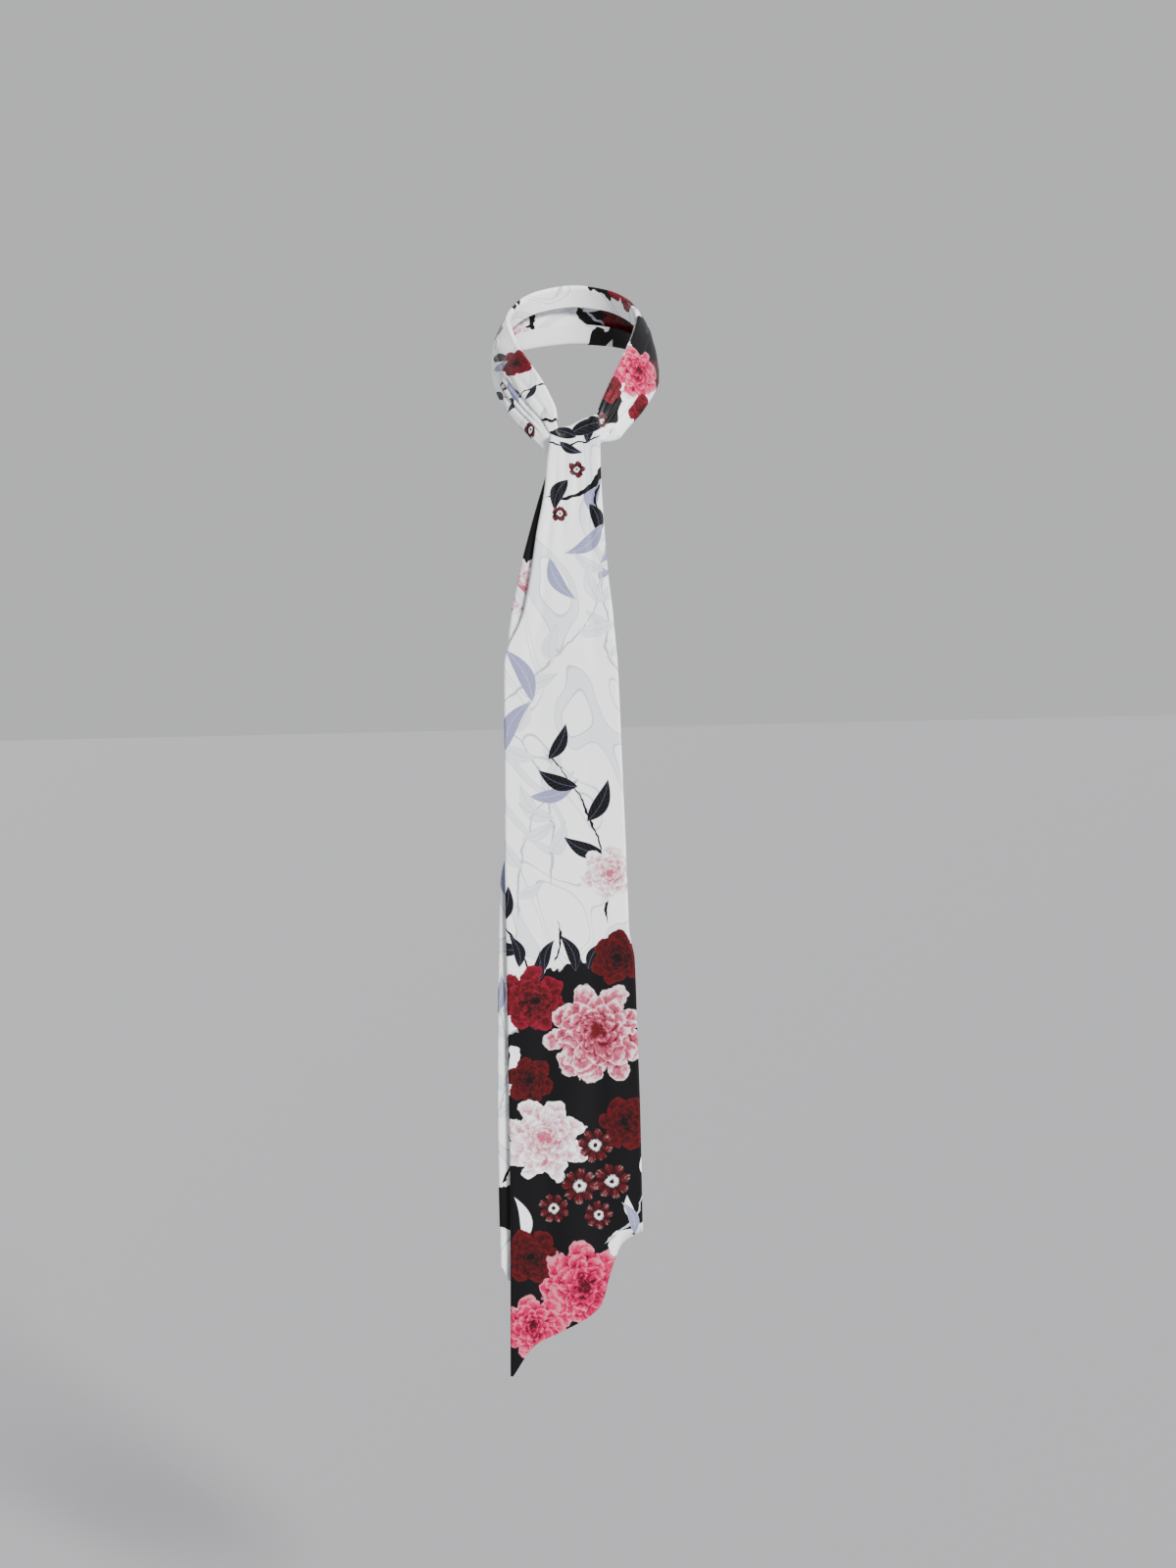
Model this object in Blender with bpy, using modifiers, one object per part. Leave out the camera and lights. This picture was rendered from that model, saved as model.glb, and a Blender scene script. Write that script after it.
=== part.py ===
"""A satin stole tied round an unseen neck, ascot style: a long doubled strip with slanted ends.

The strip goes round the back of the neck, its two bands cross in front, and one end comes up
behind the crossing, rolls over its top edge and falls as the front tail. The other end hangs
behind it as the back tail. Units are metres; tables are in millimetres, as their names say.
+X is to the right for someone facing the wearer, +Y is behind the wearer and +Z is up. The
origin is the middle of the neck opening.
"""

import math
from collections import namedtuple

import bpy
from mathutils import Vector

# Driving sizes of the cloth
MM = 0.001
STRIP_WIDTH_MM = 130.0
WALL_MM = 1.4
SEAM_MM = 0.3
FOLD_RADIUS_MM = 3.0
EDGE_CURL_MM = 3.5
MOST_TUCKED_SHARE = 0.42
KNOT_FREE_FROM_MM, KNOT_FREE_RUN_MM = -86.0, 48.0

# Points across one section: each tucked edge and the face between them
TUCKED_POINTS = 6
TUCKED_CROWDING = 1.3
FACE_POINTS = 11

# The roll over the top of the knot
ROLL_RADIUS_MM = 11.7
ROLL_MIDDLE_Y_MM = -108.3
ROLL_EDGE_TURN = math.radians(70.0)
ROLL_BACK_TURN = math.radians(-35.0)
ROLL_SEAM_MM = 0.6
ROLL_SHARE_FROM, ROLL_SHARE_RUN = 0.04, 0.26

TailRow = namedtuple("TailRow", "height left right middle face_y")
HemPoint = namedtuple("HemPoint", "share height")
TopPoint = namedtuple("TopPoint", "share height")
BandRow = namedtuple("BandRow", "upper lower bulge tucked")
Trough = namedtuple("Trough", "first last share_first share_last depth_first depth_last width")

# The front tail, one row for each height: its shown edges, where the middle of its cloth
# hangs between them and how far forward its face is
FRONT_ROWS_MM = (
    TailRow(-68.0, -24.0, 22.5, -1.0, -120.0),
    TailRow(-90.0, -24.5, 24.5, -1.0, -120.0),
    TailRow(-115.0, -28.0, 24.4, -1.0, -120.0),
    TailRow(-140.0, -30.5, 24.8, 0.0, -120.5),
    TailRow(-185.0, -39.7, 27.0, 1.3, -122.5),
    TailRow(-220.0, -45.7, 29.2, 3.3, -124.0),
    TailRow(-260.0, -54.0, 33.0, 5.0, -126.0),
    TailRow(-276.0, -60.5, 34.2, 1.0, -127.0),
    TailRow(-292.0, -69.0, 35.5, -7.5, -128.0),
    TailRow(-311.0, -74.0, 36.8, -12.5, -128.5),
    TailRow(-400.0, -75.6, 39.0, -14.1, -128.0),
    TailRow(-523.0, -78.0, 41.7, -16.5, -128.0),
    TailRow(-572.0, -78.3, 42.6, -16.5, -128.0),
    TailRow(-603.0, -78.6, 47.6, -15.5, -128.0),
    TailRow(-671.0, -79.0, 48.7, -15.5, -128.0),
    TailRow(-767.0, -79.7, 50.0, -15.5, -128.0),
    TailRow(-875.0, -81.3, 50.0, -15.5, -128.0),
    TailRow(-1017.0, -84.5, 50.0, -15.5, -128.0),
)
FRONT_TOP_MM = (
    TopPoint(0.0, -85.5),
    TopPoint(0.08, -83.5),
    TopPoint(0.22, -81.5),
    TopPoint(0.38, -80.5),
    TopPoint(0.58, -76.8),
    TopPoint(0.76, -73.8),
    TopPoint(1.0, -71.0),
)
FRONT_HEM_MM = (
    HemPoint(0.0, -1017.0),
    HemPoint(0.17, -986.0),
    HemPoint(0.38, -972.5),
    HemPoint(0.59, -958.5),
    HemPoint(0.69, -947.0),
    HemPoint(0.76, -918.0),
    HemPoint(0.86, -887.0),
    HemPoint(1.0, -875.5),
)

# The back tail, which shows only past the front tail's left edge
BACK_ROWS_MM = (
    TailRow(-100.0, -20.0, 12.0, -4.0, -104.6),
    TailRow(-122.0, -27.5, 11.0, -8.0, -104.8),
    TailRow(-141.0, -33.5, 12.0, -10.0, -110.5),
    TailRow(-156.0, -38.4, 14.0, -11.0, -112.5),
    TailRow(-224.0, -57.8, 18.0, -12.8, -116.5),
    TailRow(-263.0, -66.3, 22.0, -14.0, -118.5),
    TailRow(-289.0, -69.8, 24.0, -14.8, -119.5),
    TailRow(-400.0, -73.5, 28.0, -15.0, -121.0),
    TailRow(-480.0, -75.5, 32.0, -17.0, -121.0),
    TailRow(-529.0, -83.3, 36.0, -21.8, -121.0),
    TailRow(-630.0, -87.7, 41.0, -26.2, -121.0),
    TailRow(-796.0, -91.8, 37.5, -27.0, -121.0),
    TailRow(-924.0, -92.0, 37.5, -27.0, -121.0),
)
BACK_TOP_MM = (
    TopPoint(0.0, -104.0),
    TopPoint(1.0, -121.9),
)
BACK_HEM_MM = (
    HemPoint(0.0, -909.0),
    HemPoint(0.035, -921.0),
    HemPoint(0.09, -923.0),
    HemPoint(0.38, -880.0),
    HemPoint(0.69, -854.0),
    HemPoint(0.80, -806.0),
    HemPoint(1.0, -784.0),
)
HEM_ROLL_RADIUS_MM = 8.0
HEM_ROLL_FROM, HEM_ROLL_TO = 0.55, 0.85

# The strip from the hidden end of the left band, round the neck, to the top of the back tail.
# upper and lower are its two edges, x, y and z; tucked is how much cloth is folded in at each.
LOOP_MM = (
    BandRow((9.2, -96.4, -106.5), (9.2, -96.4, -117.5), 0.0, 3.5),
    BandRow((21.5, -98.0, -105.0), (21.5, -98.0, -118.0), 0.0, 3.5),
    BandRow((24.4, -104.0, -101.5), (24.0, -104.0, -118.0), 0.0, 3.5),
    BandRow((22.5, -109.8, -99.5), (22.3, -109.8, -118.0), 0.0, 3.5),
    BandRow((14.0, -111.5, -97.0), (13.0, -111.5, -117.5), 0.2, 5.0),
    BandRow((1.0, -111.5, -93.5), (-3.0, -111.5, -115.5), 0.3, 8.0),
    BandRow((-13.0, -111.3, -89.0), (-21.0, -111.8, -112.0), 0.5, 14.0),
    BandRow((-18.5, -107.0, -76.0), (-30.0, -110.0, -105.5), 1.0, 18.0),
    BandRow((-19.5, -98.0, -62.0), (-43.0, -98.5, -92.0), 2.0, 22.0),
    BandRow((-25.0, -87.0, -48.5), (-58.0, -80.0, -76.5), 3.0, 25.0),
    BandRow((-33.0, -75.0, -33.0), (-70.5, -58.0, -60.0), 4.0, 27.0),
    BandRow((-43.0, -62.0, -18.0), (-79.0, -34.0, -43.5), 5.0, 28.0),
    BandRow((-53.5, -46.0, -3.0), (-83.0, -9.0, -30.5), 6.0, 28.0),
    BandRow((-62.0, -25.0, 14.0), (-84.0, 15.0, -19.5), 7.0, 28.0),
    BandRow((-67.0, 2.0, 32.5), (-79.0, 39.0, -8.0), 6.0, 28.0),
    BandRow((-60.0, 32.0, 49.0), (-65.0, 62.0, 1.0), 4.0, 28.0),
    BandRow((-37.0, 58.0, 63.5), (-39.0, 78.0, 7.0), 3.0, 28.0),
    BandRow((0.0, 70.0, 69.5), (0.0, 85.0, 10.0), 3.0, 28.0),
    BandRow((37.0, 58.0, 63.5), (40.0, 78.0, 7.0), 3.0, 28.0),
    BandRow((61.0, 32.0, 48.5), (67.0, 61.0, 0.0), 4.0, 28.0),
    BandRow((68.0, 3.0, 34.0), (82.0, 38.0, -10.0), 5.0, 28.0),
    BandRow((64.5, -21.0, 19.0), (87.0, 13.0, -23.0), 5.0, 28.0),
    BandRow((57.5, -42.0, 2.0), (86.5, -12.0, -35.0), 4.0, 28.0),
    BandRow((49.0, -60.0, -15.0), (80.5, -36.0, -49.0), 4.0, 27.0),
    BandRow((39.5, -75.0, -33.0), (69.0, -59.0, -66.0), 3.0, 25.0),
    BandRow((31.5, -87.5, -49.0), (54.5, -80.0, -82.0), 2.0, 22.0),
    BandRow((24.8, -97.0, -64.5), (41.5, -95.0, -95.0), 1.0, 17.0),
    BandRow((17.0, -103.0, -80.5), (25.0, -103.5, -98.0), 0.3, 9.0),
    BandRow((5.0, -104.7, -89.5), (14.5, -104.7, -104.5), 0.2, 8.0),
    BandRow((-8.0, -104.7, -96.5), (11.5, -104.7, -113.0), 0.2, 7.0),
    BandRow((-19.3, -104.7, -102.2), (11.8, -104.7, -120.4), 0.2, 7.0),
)
LEFT_BAND_FROM, BACK_BAND_FROM, RIGHT_BAND_FROM, LOOP_END = 0.0, 13.0, 21.0, 30.0

# The largest folds, troughs that run along the strip between two sections of that table, with
# their places across it, as shares from the upper edge, and their depths at both ends
TROUGHS = (
    Trough(6.5, 13.5, 0.42, 0.70, 2.6, 0.4, 0.07),
    Trough(7.5, 12.5, 0.80, 0.90, 1.8, 0.6, 0.05),
    Trough(13.0, 21.0, 0.64, 0.56, 0.9, 0.9, 0.08),
    Trough(20.5, 26.5, 0.34, 0.26, 0.6, 2.4, 0.06),
    Trough(21.5, 26.5, 0.76, 0.62, 0.8, 2.0, 0.07),
)
TROUGH_RUN_IN = 1.2
FULL_TROUGH_WIDTH_MM = 45.0
MOST_LOOP_TUCKED_SHARE = 0.5
LOOP_STEP = 0.05
SEAM_SHARE = 0.014

# Sections along each stretch
FRONT_STEPS, ROLL_STEPS = 42, 6
BACK_STEPS = 26
LEFT_BAND_STEPS = 18
RIGHT_BAND_STEPS = 16
BACK_BAND_STEPS = 14
ROW_CROWDING = 1.25

# The strip behind the crossing, from the roll down
WRAP_BOTTOM_MM = -118.0
WRAP_ROLL_STEPS, WRAP_DROP_STEPS = 5, 4

SATIN_WHITE = (0.86, 0.86, 0.88)
SATIN_BLACK = (0.03, 0.028, 0.035)
SATIN_ROSE = (0.62, 0.16, 0.26)
SATIN_LAVENDER = (0.62, 0.62, 0.74)
SATIN_ROUGHNESS = 0.38


def ease(share):
    """A soft step from 0 to 1."""
    share = min(1.0, max(0.0, share))
    return share * share * (3.0 - 2.0 * share)


def slope_at(places, values, k):
    """The slope of a smooth curve through a table's points, level where the table turns back."""
    if k == 0 or k == len(places) - 1:
        i = min(k, len(places) - 2)
        return (values[i + 1] - values[i]) / (places[i + 1] - places[i])
    before = (values[k] - values[k - 1]) / (places[k] - places[k - 1])
    after = (values[k + 1] - values[k]) / (places[k + 1] - places[k])
    if before * after <= 0.0:
        return 0.0
    return 2.0 * before * after / (before + after)


def smooth_value(places, values, at):
    """Reads a table of rising places smoothly, with no overshoot between its rows."""
    at = min(places[-1], max(places[0], at))
    k = 0
    while k < len(places) - 2 and at > places[k + 1]:
        k += 1
    gap = places[k + 1] - places[k]
    t = (at - places[k]) / gap
    rise = slope_at(places, values, k) * gap
    fall = slope_at(places, values, k + 1) * gap
    start_part = (2.0 * t**3 - 3.0 * t**2 + 1.0) * values[k] + (t**3 - 2.0 * t**2 + t) * rise
    end_part = (3.0 * t**2 - 2.0 * t**3) * values[k + 1] + (t**3 - t**2) * fall
    return start_part + end_part


def from_table(rows, key, column, at):
    """One column of a table at any place along its key column."""
    ordered = sorted(rows, key=lambda row: getattr(row, key))
    places = [getattr(row, key) for row in ordered]
    values = [getattr(row, column) for row in ordered]
    return smooth_value(places, values, at)


def tucked_edge(tucked, radius):
    """One edge seen end on, turned in and then folded flat behind, from its end to the face."""
    points = []
    for k in range(TUCKED_POINTS, 0, -1):
        run = tucked * (k / TUCKED_POINTS) ** TUCKED_CROWDING
        turn = min(math.pi, run / radius)
        flat = max(0.0, run - math.pi * radius)
        points.append((radius - radius * math.sin(turn) + flat, radius * math.cos(turn) - radius))
    outermost = min(across for across, out in points)
    return [(across - outermost, out) for across, out in points], radius - outermost


def section(width, first_tucked, last_tucked, lift):
    """Points (share, across, out) over a strip with tucked edges.

    share is the place across the face, from 0 to 1, and lift gives the face's height there.
    """
    first, first_start = tucked_edge(first_tucked, FOLD_RADIUS_MM)
    last, last_start = tucked_edge(last_tucked, FOLD_RADIUS_MM)
    points = [(0.0, across, out + lift(0.0)) for across, out in first]
    face_run = width - first_start - last_start
    for k in range(FACE_POINTS):
        share = k / (FACE_POINTS - 1)
        points.append((share, first_start + face_run * share, lift(share)))
    points += [(1.0, width - across, out + lift(1.0)) for across, out in reversed(last)]
    return points


def cloth_material(name, color):
    """Smooth satin in one plain colour."""
    material = bpy.data.materials.new(name)
    material.use_nodes = True
    shader = material.node_tree.nodes["Principled BSDF"]
    shader.inputs["Base Color"].default_value = (*color, 1.0)
    shader.inputs["Roughness"].default_value = SATIN_ROUGHNESS
    material.diffuse_color = (*color, 1.0)
    return material


def cloth_from_rows(name, rows, color, parts):
    """An open sheet through rows of points in millimetres, given its wall by Solidify."""
    across = len(rows[0])
    points = [Vector(point) * MM for row in rows for point in row]
    faces = []
    for r in range(len(rows) - 1):
        for c in range(across - 1):
            k = r * across + c
            faces.append((k, k + 1, k + across + 1, k + across))
    mesh = bpy.data.meshes.new(name)
    mesh.from_pydata(points, [], faces)
    mesh.materials.append(cloth_material(name + "_satin", color))
    mesh.shade_smooth()
    sheet = bpy.data.objects.new(name, mesh)
    parts.objects.link(sheet)
    wall = sheet.modifiers.new("Wall", "SOLIDIFY")
    wall.thickness = WALL_MM * MM
    wall.offset = -1.0
    return sheet


def tail_section(rows, height):
    """A tail's left edge and section at one height; cloth past its shown width is tucked in."""
    left = from_table(rows, "height", "left", height)
    right = from_table(rows, "height", "right", height)
    middle = from_table(rows, "height", "middle", height)
    half = STRIP_WIDTH_MM / 2.0
    most = MOST_TUCKED_SHARE * (right - left)
    free = ease((KNOT_FREE_FROM_MM - height) / KNOT_FREE_RUN_MM)
    spare = (half - (middle - left), half - (right - middle))
    tucked = [EDGE_CURL_MM + free * max(0.0, min(most, value) - EDGE_CURL_MM) for value in spare]
    return left, section(right - left, tucked[0], tucked[1], lambda share: 0.0)


def hem_roll(share, above_hem):
    """How a tail's corner rolls back near its hem: the drop along the face and the way back."""
    amount = ease((share - HEM_ROLL_FROM) / (HEM_ROLL_TO - HEM_ROLL_FROM))
    quarter = 0.5 * math.pi * HEM_ROLL_RADIUS_MM
    if above_hem >= quarter:
        return 0.0
    angle = (quarter - above_hem) / HEM_ROLL_RADIUS_MM
    return amount * HEM_ROLL_RADIUS_MM * (1.0 - math.cos(angle))


def section_shares():
    """The place across the face of each point of a section, from 0 to 1."""
    level = section(STRIP_WIDTH_MM, EDGE_CURL_MM, EDGE_CURL_MM, lambda share: 0.0)
    return [share for share, across, out in level]


def hanging_point(rows, column, height, roll_back):
    """One point of a tail that hangs straight down, at a place across it and a height."""
    left, points = tail_section(rows, height)
    share, across, out = points[column]
    face_y = from_table(rows, "height", "face_y", height)
    return Vector((left + across, face_y - out + roll_back, height))


def roll_start(share):
    """The turn at which the front tail begins, from the top of its roll, and the roll's top."""
    inward = ease((min(share, 1.0 - share) - ROLL_SHARE_FROM) / ROLL_SHARE_RUN)
    turn = ROLL_EDGE_TURN + (ROLL_BACK_TURN - ROLL_EDGE_TURN) * inward
    cut_off = ROLL_RADIUS_MM * (1.0 - math.cos(max(0.0, turn)))
    return turn, from_table(FRONT_TOP_MM, "share", "height", share) + cut_off


def front_point(column, share, step):
    """One point of the front tail, at a step from its hidden top to its hem."""
    hem = from_table(FRONT_HEM_MM, "share", "height", share)
    first_turn, crest = roll_start(share)
    if step < ROLL_STEPS:
        turn = first_turn + (0.5 * math.pi - first_turn) * step / ROLL_STEPS
        return rolled_point(column, turn, crest)
    down = ((step - ROLL_STEPS) / (FRONT_STEPS - ROLL_STEPS)) ** ROW_CROWDING
    top = crest - ROLL_RADIUS_MM
    height = top + (hem - top) * down
    return hanging_point(FRONT_ROWS_MM, column, height, hem_roll(share, height - hem))


def rolled_point(column, turn, crest):
    """A point of the front tail's section on the roll over the knot, at a turn from its top."""
    height = crest - ROLL_RADIUS_MM * (1.0 - math.cos(turn))
    left, points = tail_section(FRONT_ROWS_MM, height)
    share, across, out = points[column]
    y = ROLL_MIDDLE_Y_MM - (ROLL_RADIUS_MM + out) * math.sin(turn)
    return Vector((left + across, y, height + out * math.cos(turn)))


def back_point(column, share, step):
    """One point of the back tail, at a step from its top to its hem."""
    down = (step / BACK_STEPS) ** ROW_CROWDING
    top = from_table(BACK_TOP_MM, "share", "height", share)
    hem = from_table(BACK_HEM_MM, "share", "height", share)
    height = top + (hem - top) * down
    return hanging_point(BACK_ROWS_MM, column, height, hem_roll(share, height - hem))


def make_tail(name, point_at, steps, color, parts):
    """A tail, as a sheet through its sections, which crowd together near the knot."""
    shares = section_shares()
    rows = []
    for step in range(steps + 1):
        row = [point_at(column, share, step) for column, share in enumerate(shares)]
        rows.append(row[::-1])
    return cloth_from_rows(name, rows, color, parts)


def loop_value(column, at):
    """One plain column of the loop's table at any place along it."""
    values = [getattr(row, column) for row in LOOP_MM]
    return smooth_value(range(len(values)), values, at)


def loop_edge(column, at):
    """A point on the strip's upper or lower edge."""
    corners = [getattr(row, column) for row in LOOP_MM]
    places = range(len(corners))
    return Vector([smooth_value(places, [corner[k] for corner in corners], at) for k in range(3)])


def loop_lift(at, width):
    """The height of the strip's face across one section: a bulge with the troughs pressed in."""
    bulge = loop_value("bulge", at)
    dips = []
    for trough in TROUGHS:
        near_end = min(at - trough.first, trough.last - at) / TROUGH_RUN_IN
        along = (at - trough.first) / (trough.last - trough.first)
        middle = trough.share_first + (trough.share_last - trough.share_first) * along
        depth = trough.depth_first + (trough.depth_last - trough.depth_first) * along
        depth *= ease(near_end) * min(1.0, width / FULL_TROUGH_WIDTH_MM)
        dips.append((middle, depth, trough.width))

    def lift(share):
        height = bulge * math.sin(math.pi * share)
        for middle, depth, wide in dips:
            height -= depth * math.exp(-(((share - middle) / wide) ** 2))
        return height

    return lift


def loop_section(at):
    """The points of one section of the strip round the neck."""
    upper = loop_edge("upper", at)
    lower = loop_edge("lower", at)
    before = loop_edge("upper", at - LOOP_STEP) + loop_edge("lower", at - LOOP_STEP)
    after = loop_edge("upper", at + LOOP_STEP) + loop_edge("lower", at + LOOP_STEP)
    width = (lower - upper).length
    down = (lower - upper) / width
    outward = (after - before).cross(down).normalized()
    tucked = min(loop_value("tucked", at), MOST_LOOP_TUCKED_SHARE * width)
    points = section(width, tucked, tucked, loop_lift(at, width))
    return [upper + down * across + outward * out for share, across, out in reversed(points)]


def make_band(name, first, last, steps, color, parts):
    """One stretch of the strip round the neck, between two places along the loop's table."""
    rows = [loop_section(first + (last - first) * step / steps) for step in range(steps + 1)]
    return cloth_from_rows(name, rows, color, parts)


def make_knot_wrap(parts):
    """The plain strip behind the crossing, from the roll's hidden end down to below the bands."""
    start = ROLL_BACK_TURN - ROLL_SEAM_MM / ROLL_RADIUS_MM
    rows = []
    for column, share in enumerate(section_shares()):
        first_turn, crest = roll_start(share)
        if first_turn > ROLL_BACK_TURN:
            continue
        line = []
        for k in range(WRAP_ROLL_STEPS):
            turn = start - (start + 0.5 * math.pi) * k / WRAP_ROLL_STEPS
            line.append(rolled_point(column, turn, crest))
        straight = rolled_point(column, -0.5 * math.pi, crest)
        for k in range(WRAP_DROP_STEPS + 1):
            drop = (straight.z - WRAP_BOTTOM_MM) * k / WRAP_DROP_STEPS
            line.append(straight - Vector((0.0, 0.0, drop)))
        rows.append(line[::-1])
    return cloth_from_rows("knot_wrap", rows, SATIN_LAVENDER, parts)


def main():
    """Clears the file and builds the six stretches of the stole."""
    for old in list(bpy.data.objects):
        bpy.data.objects.remove(old, do_unlink=True)
    parts = bpy.data.collections.new("satin_stole")
    bpy.context.scene.collection.children.link(parts)
    make_tail("front_tail", front_point, FRONT_STEPS, SATIN_WHITE, parts)
    make_tail("back_tail", back_point, BACK_STEPS, SATIN_BLACK, parts)
    make_knot_wrap(parts)
    left_end = BACK_BAND_FROM - SEAM_SHARE
    right_start = RIGHT_BAND_FROM + SEAM_SHARE
    make_band("neck_left", LEFT_BAND_FROM, left_end, LEFT_BAND_STEPS, SATIN_WHITE, parts)
    make_band("neck_back", BACK_BAND_FROM, RIGHT_BAND_FROM, BACK_BAND_STEPS, SATIN_BLACK, parts)
    make_band("neck_right", right_start, LOOP_END, RIGHT_BAND_STEPS, SATIN_ROSE, parts)


main()
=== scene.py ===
"""A satin stole tied ascot style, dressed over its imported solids.

Each stretch of the doubled strip is built again with finer folds and a cloth map in metres,
which runs across and along the strip, and a printed satin drawn on that map with shader nodes.
Run as a script in Blender 4.5. Units are metres; the tables of shapes are in millimetres.
"""

import math
from collections import namedtuple

import bpy
from bpy.props import FloatProperty, FloatVectorProperty, PointerProperty
from mathutils import Matrix, Vector, noise


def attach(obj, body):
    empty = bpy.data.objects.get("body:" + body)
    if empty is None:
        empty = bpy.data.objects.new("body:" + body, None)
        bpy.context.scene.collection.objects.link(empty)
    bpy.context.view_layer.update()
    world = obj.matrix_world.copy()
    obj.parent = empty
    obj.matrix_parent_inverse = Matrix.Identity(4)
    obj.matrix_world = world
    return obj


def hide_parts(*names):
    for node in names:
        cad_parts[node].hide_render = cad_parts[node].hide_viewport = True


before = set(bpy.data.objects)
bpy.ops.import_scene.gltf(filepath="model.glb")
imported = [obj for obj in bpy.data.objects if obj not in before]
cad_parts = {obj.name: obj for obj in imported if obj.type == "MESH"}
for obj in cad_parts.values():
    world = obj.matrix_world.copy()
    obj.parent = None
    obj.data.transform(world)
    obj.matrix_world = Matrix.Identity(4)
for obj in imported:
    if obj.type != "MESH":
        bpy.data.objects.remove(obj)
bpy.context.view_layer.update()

bl_info = {
    "name": "Satin stole",
    "version": (1, 0, 0),
    "blender": (4, 5, 0),
    "location": "3D View > Sidebar > Stole",
    "description": "Builds a tied satin stole with a floral print",
    "category": "Add Mesh",
}

MM = 0.001
QUARTER_TURN = 0.5 * math.pi

# The strip's cut and the way its edges are tucked in
STRIP_WIDTH_MM = 130.0
FOLD_RADIUS_MM = 3.0
EDGE_CURL_MM = 3.5
MOST_TUCKED_SHARE = 0.42
MOST_LOOP_TUCKED_SHARE = 0.5
KNOT_FREE_FROM_MM, KNOT_FREE_RUN_MM = -86.0, 48.0
TUCKED_POINTS = 12
TUCKED_CROWDING = 1.3
FACE_POINTS = 64
LEVEL_EDGE_SHARE = 0.08
EDGE_BEVEL_SHARE, EDGE_ANGLE = 0.35, math.radians(60.0)

# The roll over the top of the knot
ROLL_RADIUS_MM = 11.7
ROLL_MIDDLE_Y_MM = -108.3
ROLL_EDGE_TURN = math.radians(70.0)
ROLL_BACK_TURN = math.radians(-35.0)
ROLL_SEAM_MM = 0.6
ROLL_SHARE_FROM, ROLL_SHARE_RUN = 0.04, 0.26
WRAP_BOTTOM_MM = -118.0
WRAP_RIGHT_MM, WRAP_FOLD_SLOPE = 8.6, 0.75

TailRow = namedtuple("TailRow", "height left right middle face_y")
Edge = namedtuple("Edge", "share height")
BandRow = namedtuple("BandRow", "upper lower bulge tucked")
Fold = namedtuple("Fold", "first last share_first share_last depth_first depth_last width hidden")
Spot = namedtuple("Spot", "share across out cloth")
Dip = namedtuple("Dip", "middle depth width steep hidden")
Cut = namedtuple("Cut", "flat held area")
Band = namedtuple("Band", "side first last steps cut")
Sun = namedtuple("Sun", "place strength softness")


def rows_of(kind, *rows):
    """A table's rows, with their columns' names."""
    return [kind(*row) for row in rows]


FRONT_ROWS_MM = rows_of(
    TailRow,
    (-68, -24, 22.5, -1, -120),
    (-90, -24.5, 24.5, -1, -120),
    (-115, -28, 24.4, -1, -120),
    (-140, -30.5, 24.8, 0, -120.5),
    (-185, -39.7, 27, 1.3, -122.5),
    (-220, -45.7, 29.2, 3.3, -124),
    (-260, -54, 33, 5, -126),
    (-276, -60.5, 34.2, 1, -127),
    (-292, -69, 35.5, -7.5, -128),
    (-311, -74, 36.8, -12.5, -128.5),
    (-400, -75.6, 39, -14.1, -128),
    (-523, -78, 41.7, -16.5, -128),
    (-572, -78.3, 42.6, -16.5, -128),
    (-603, -78.6, 47.6, -15.5, -128),
    (-671, -79, 48.7, -15.5, -128),
    (-767, -79.7, 50, -15.5, -128),
    (-875, -81.3, 50, -15.5, -128),
    (-1017, -84.5, 50, -15.5, -128),
)
FRONT_TOP_MM = rows_of(
    Edge,
    (0, -85.5),
    (0.08, -83.5),
    (0.22, -81.5),
    (0.38, -80.5),
    (0.58, -76.8),
    (0.76, -73.8),
    (1, -71),
)
FRONT_HEM_MM = rows_of(
    Edge,
    (0, -1017),
    (0.17, -986),
    (0.38, -972.5),
    (0.59, -958.5),
    (0.69, -947),
    (0.76, -918),
    (0.86, -887),
    (1, -875.5),
)
BACK_ROWS_MM = rows_of(
    TailRow,
    (-100, -20, 12, -4, -104.6),
    (-122, -27.5, 11, -8, -104.8),
    (-141, -33.5, 12, -10, -110.5),
    (-156, -38.4, 14, -11, -112.5),
    (-224, -57.8, 18, -12.8, -116.5),
    (-263, -66.3, 22, -14, -118.5),
    (-289, -69.8, 24, -14.8, -119.5),
    (-400, -73.5, 28, -15, -121),
    (-480, -75.5, 32, -17, -121),
    (-529, -83.3, 36, -21.8, -121),
    (-630, -87.7, 41, -26.2, -121),
    (-796, -91.8, 37.5, -27, -121),
    (-924, -92, 37.5, -27, -121),
)
BACK_TOP_MM = rows_of(
    Edge,
    (0, -104),
    (1, -121.9),
)
BACK_HEM_MM = rows_of(
    Edge,
    (0, -909),
    (0.035, -921),
    (0.09, -923),
    (0.38, -880),
    (0.69, -854),
    (0.80, -806),
    (1, -784),
)
HEM_ROLL_RADIUS_MM = 8.0
HEM_ROLL_FROM, HEM_ROLL_TO = 0.55, 0.85

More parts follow.
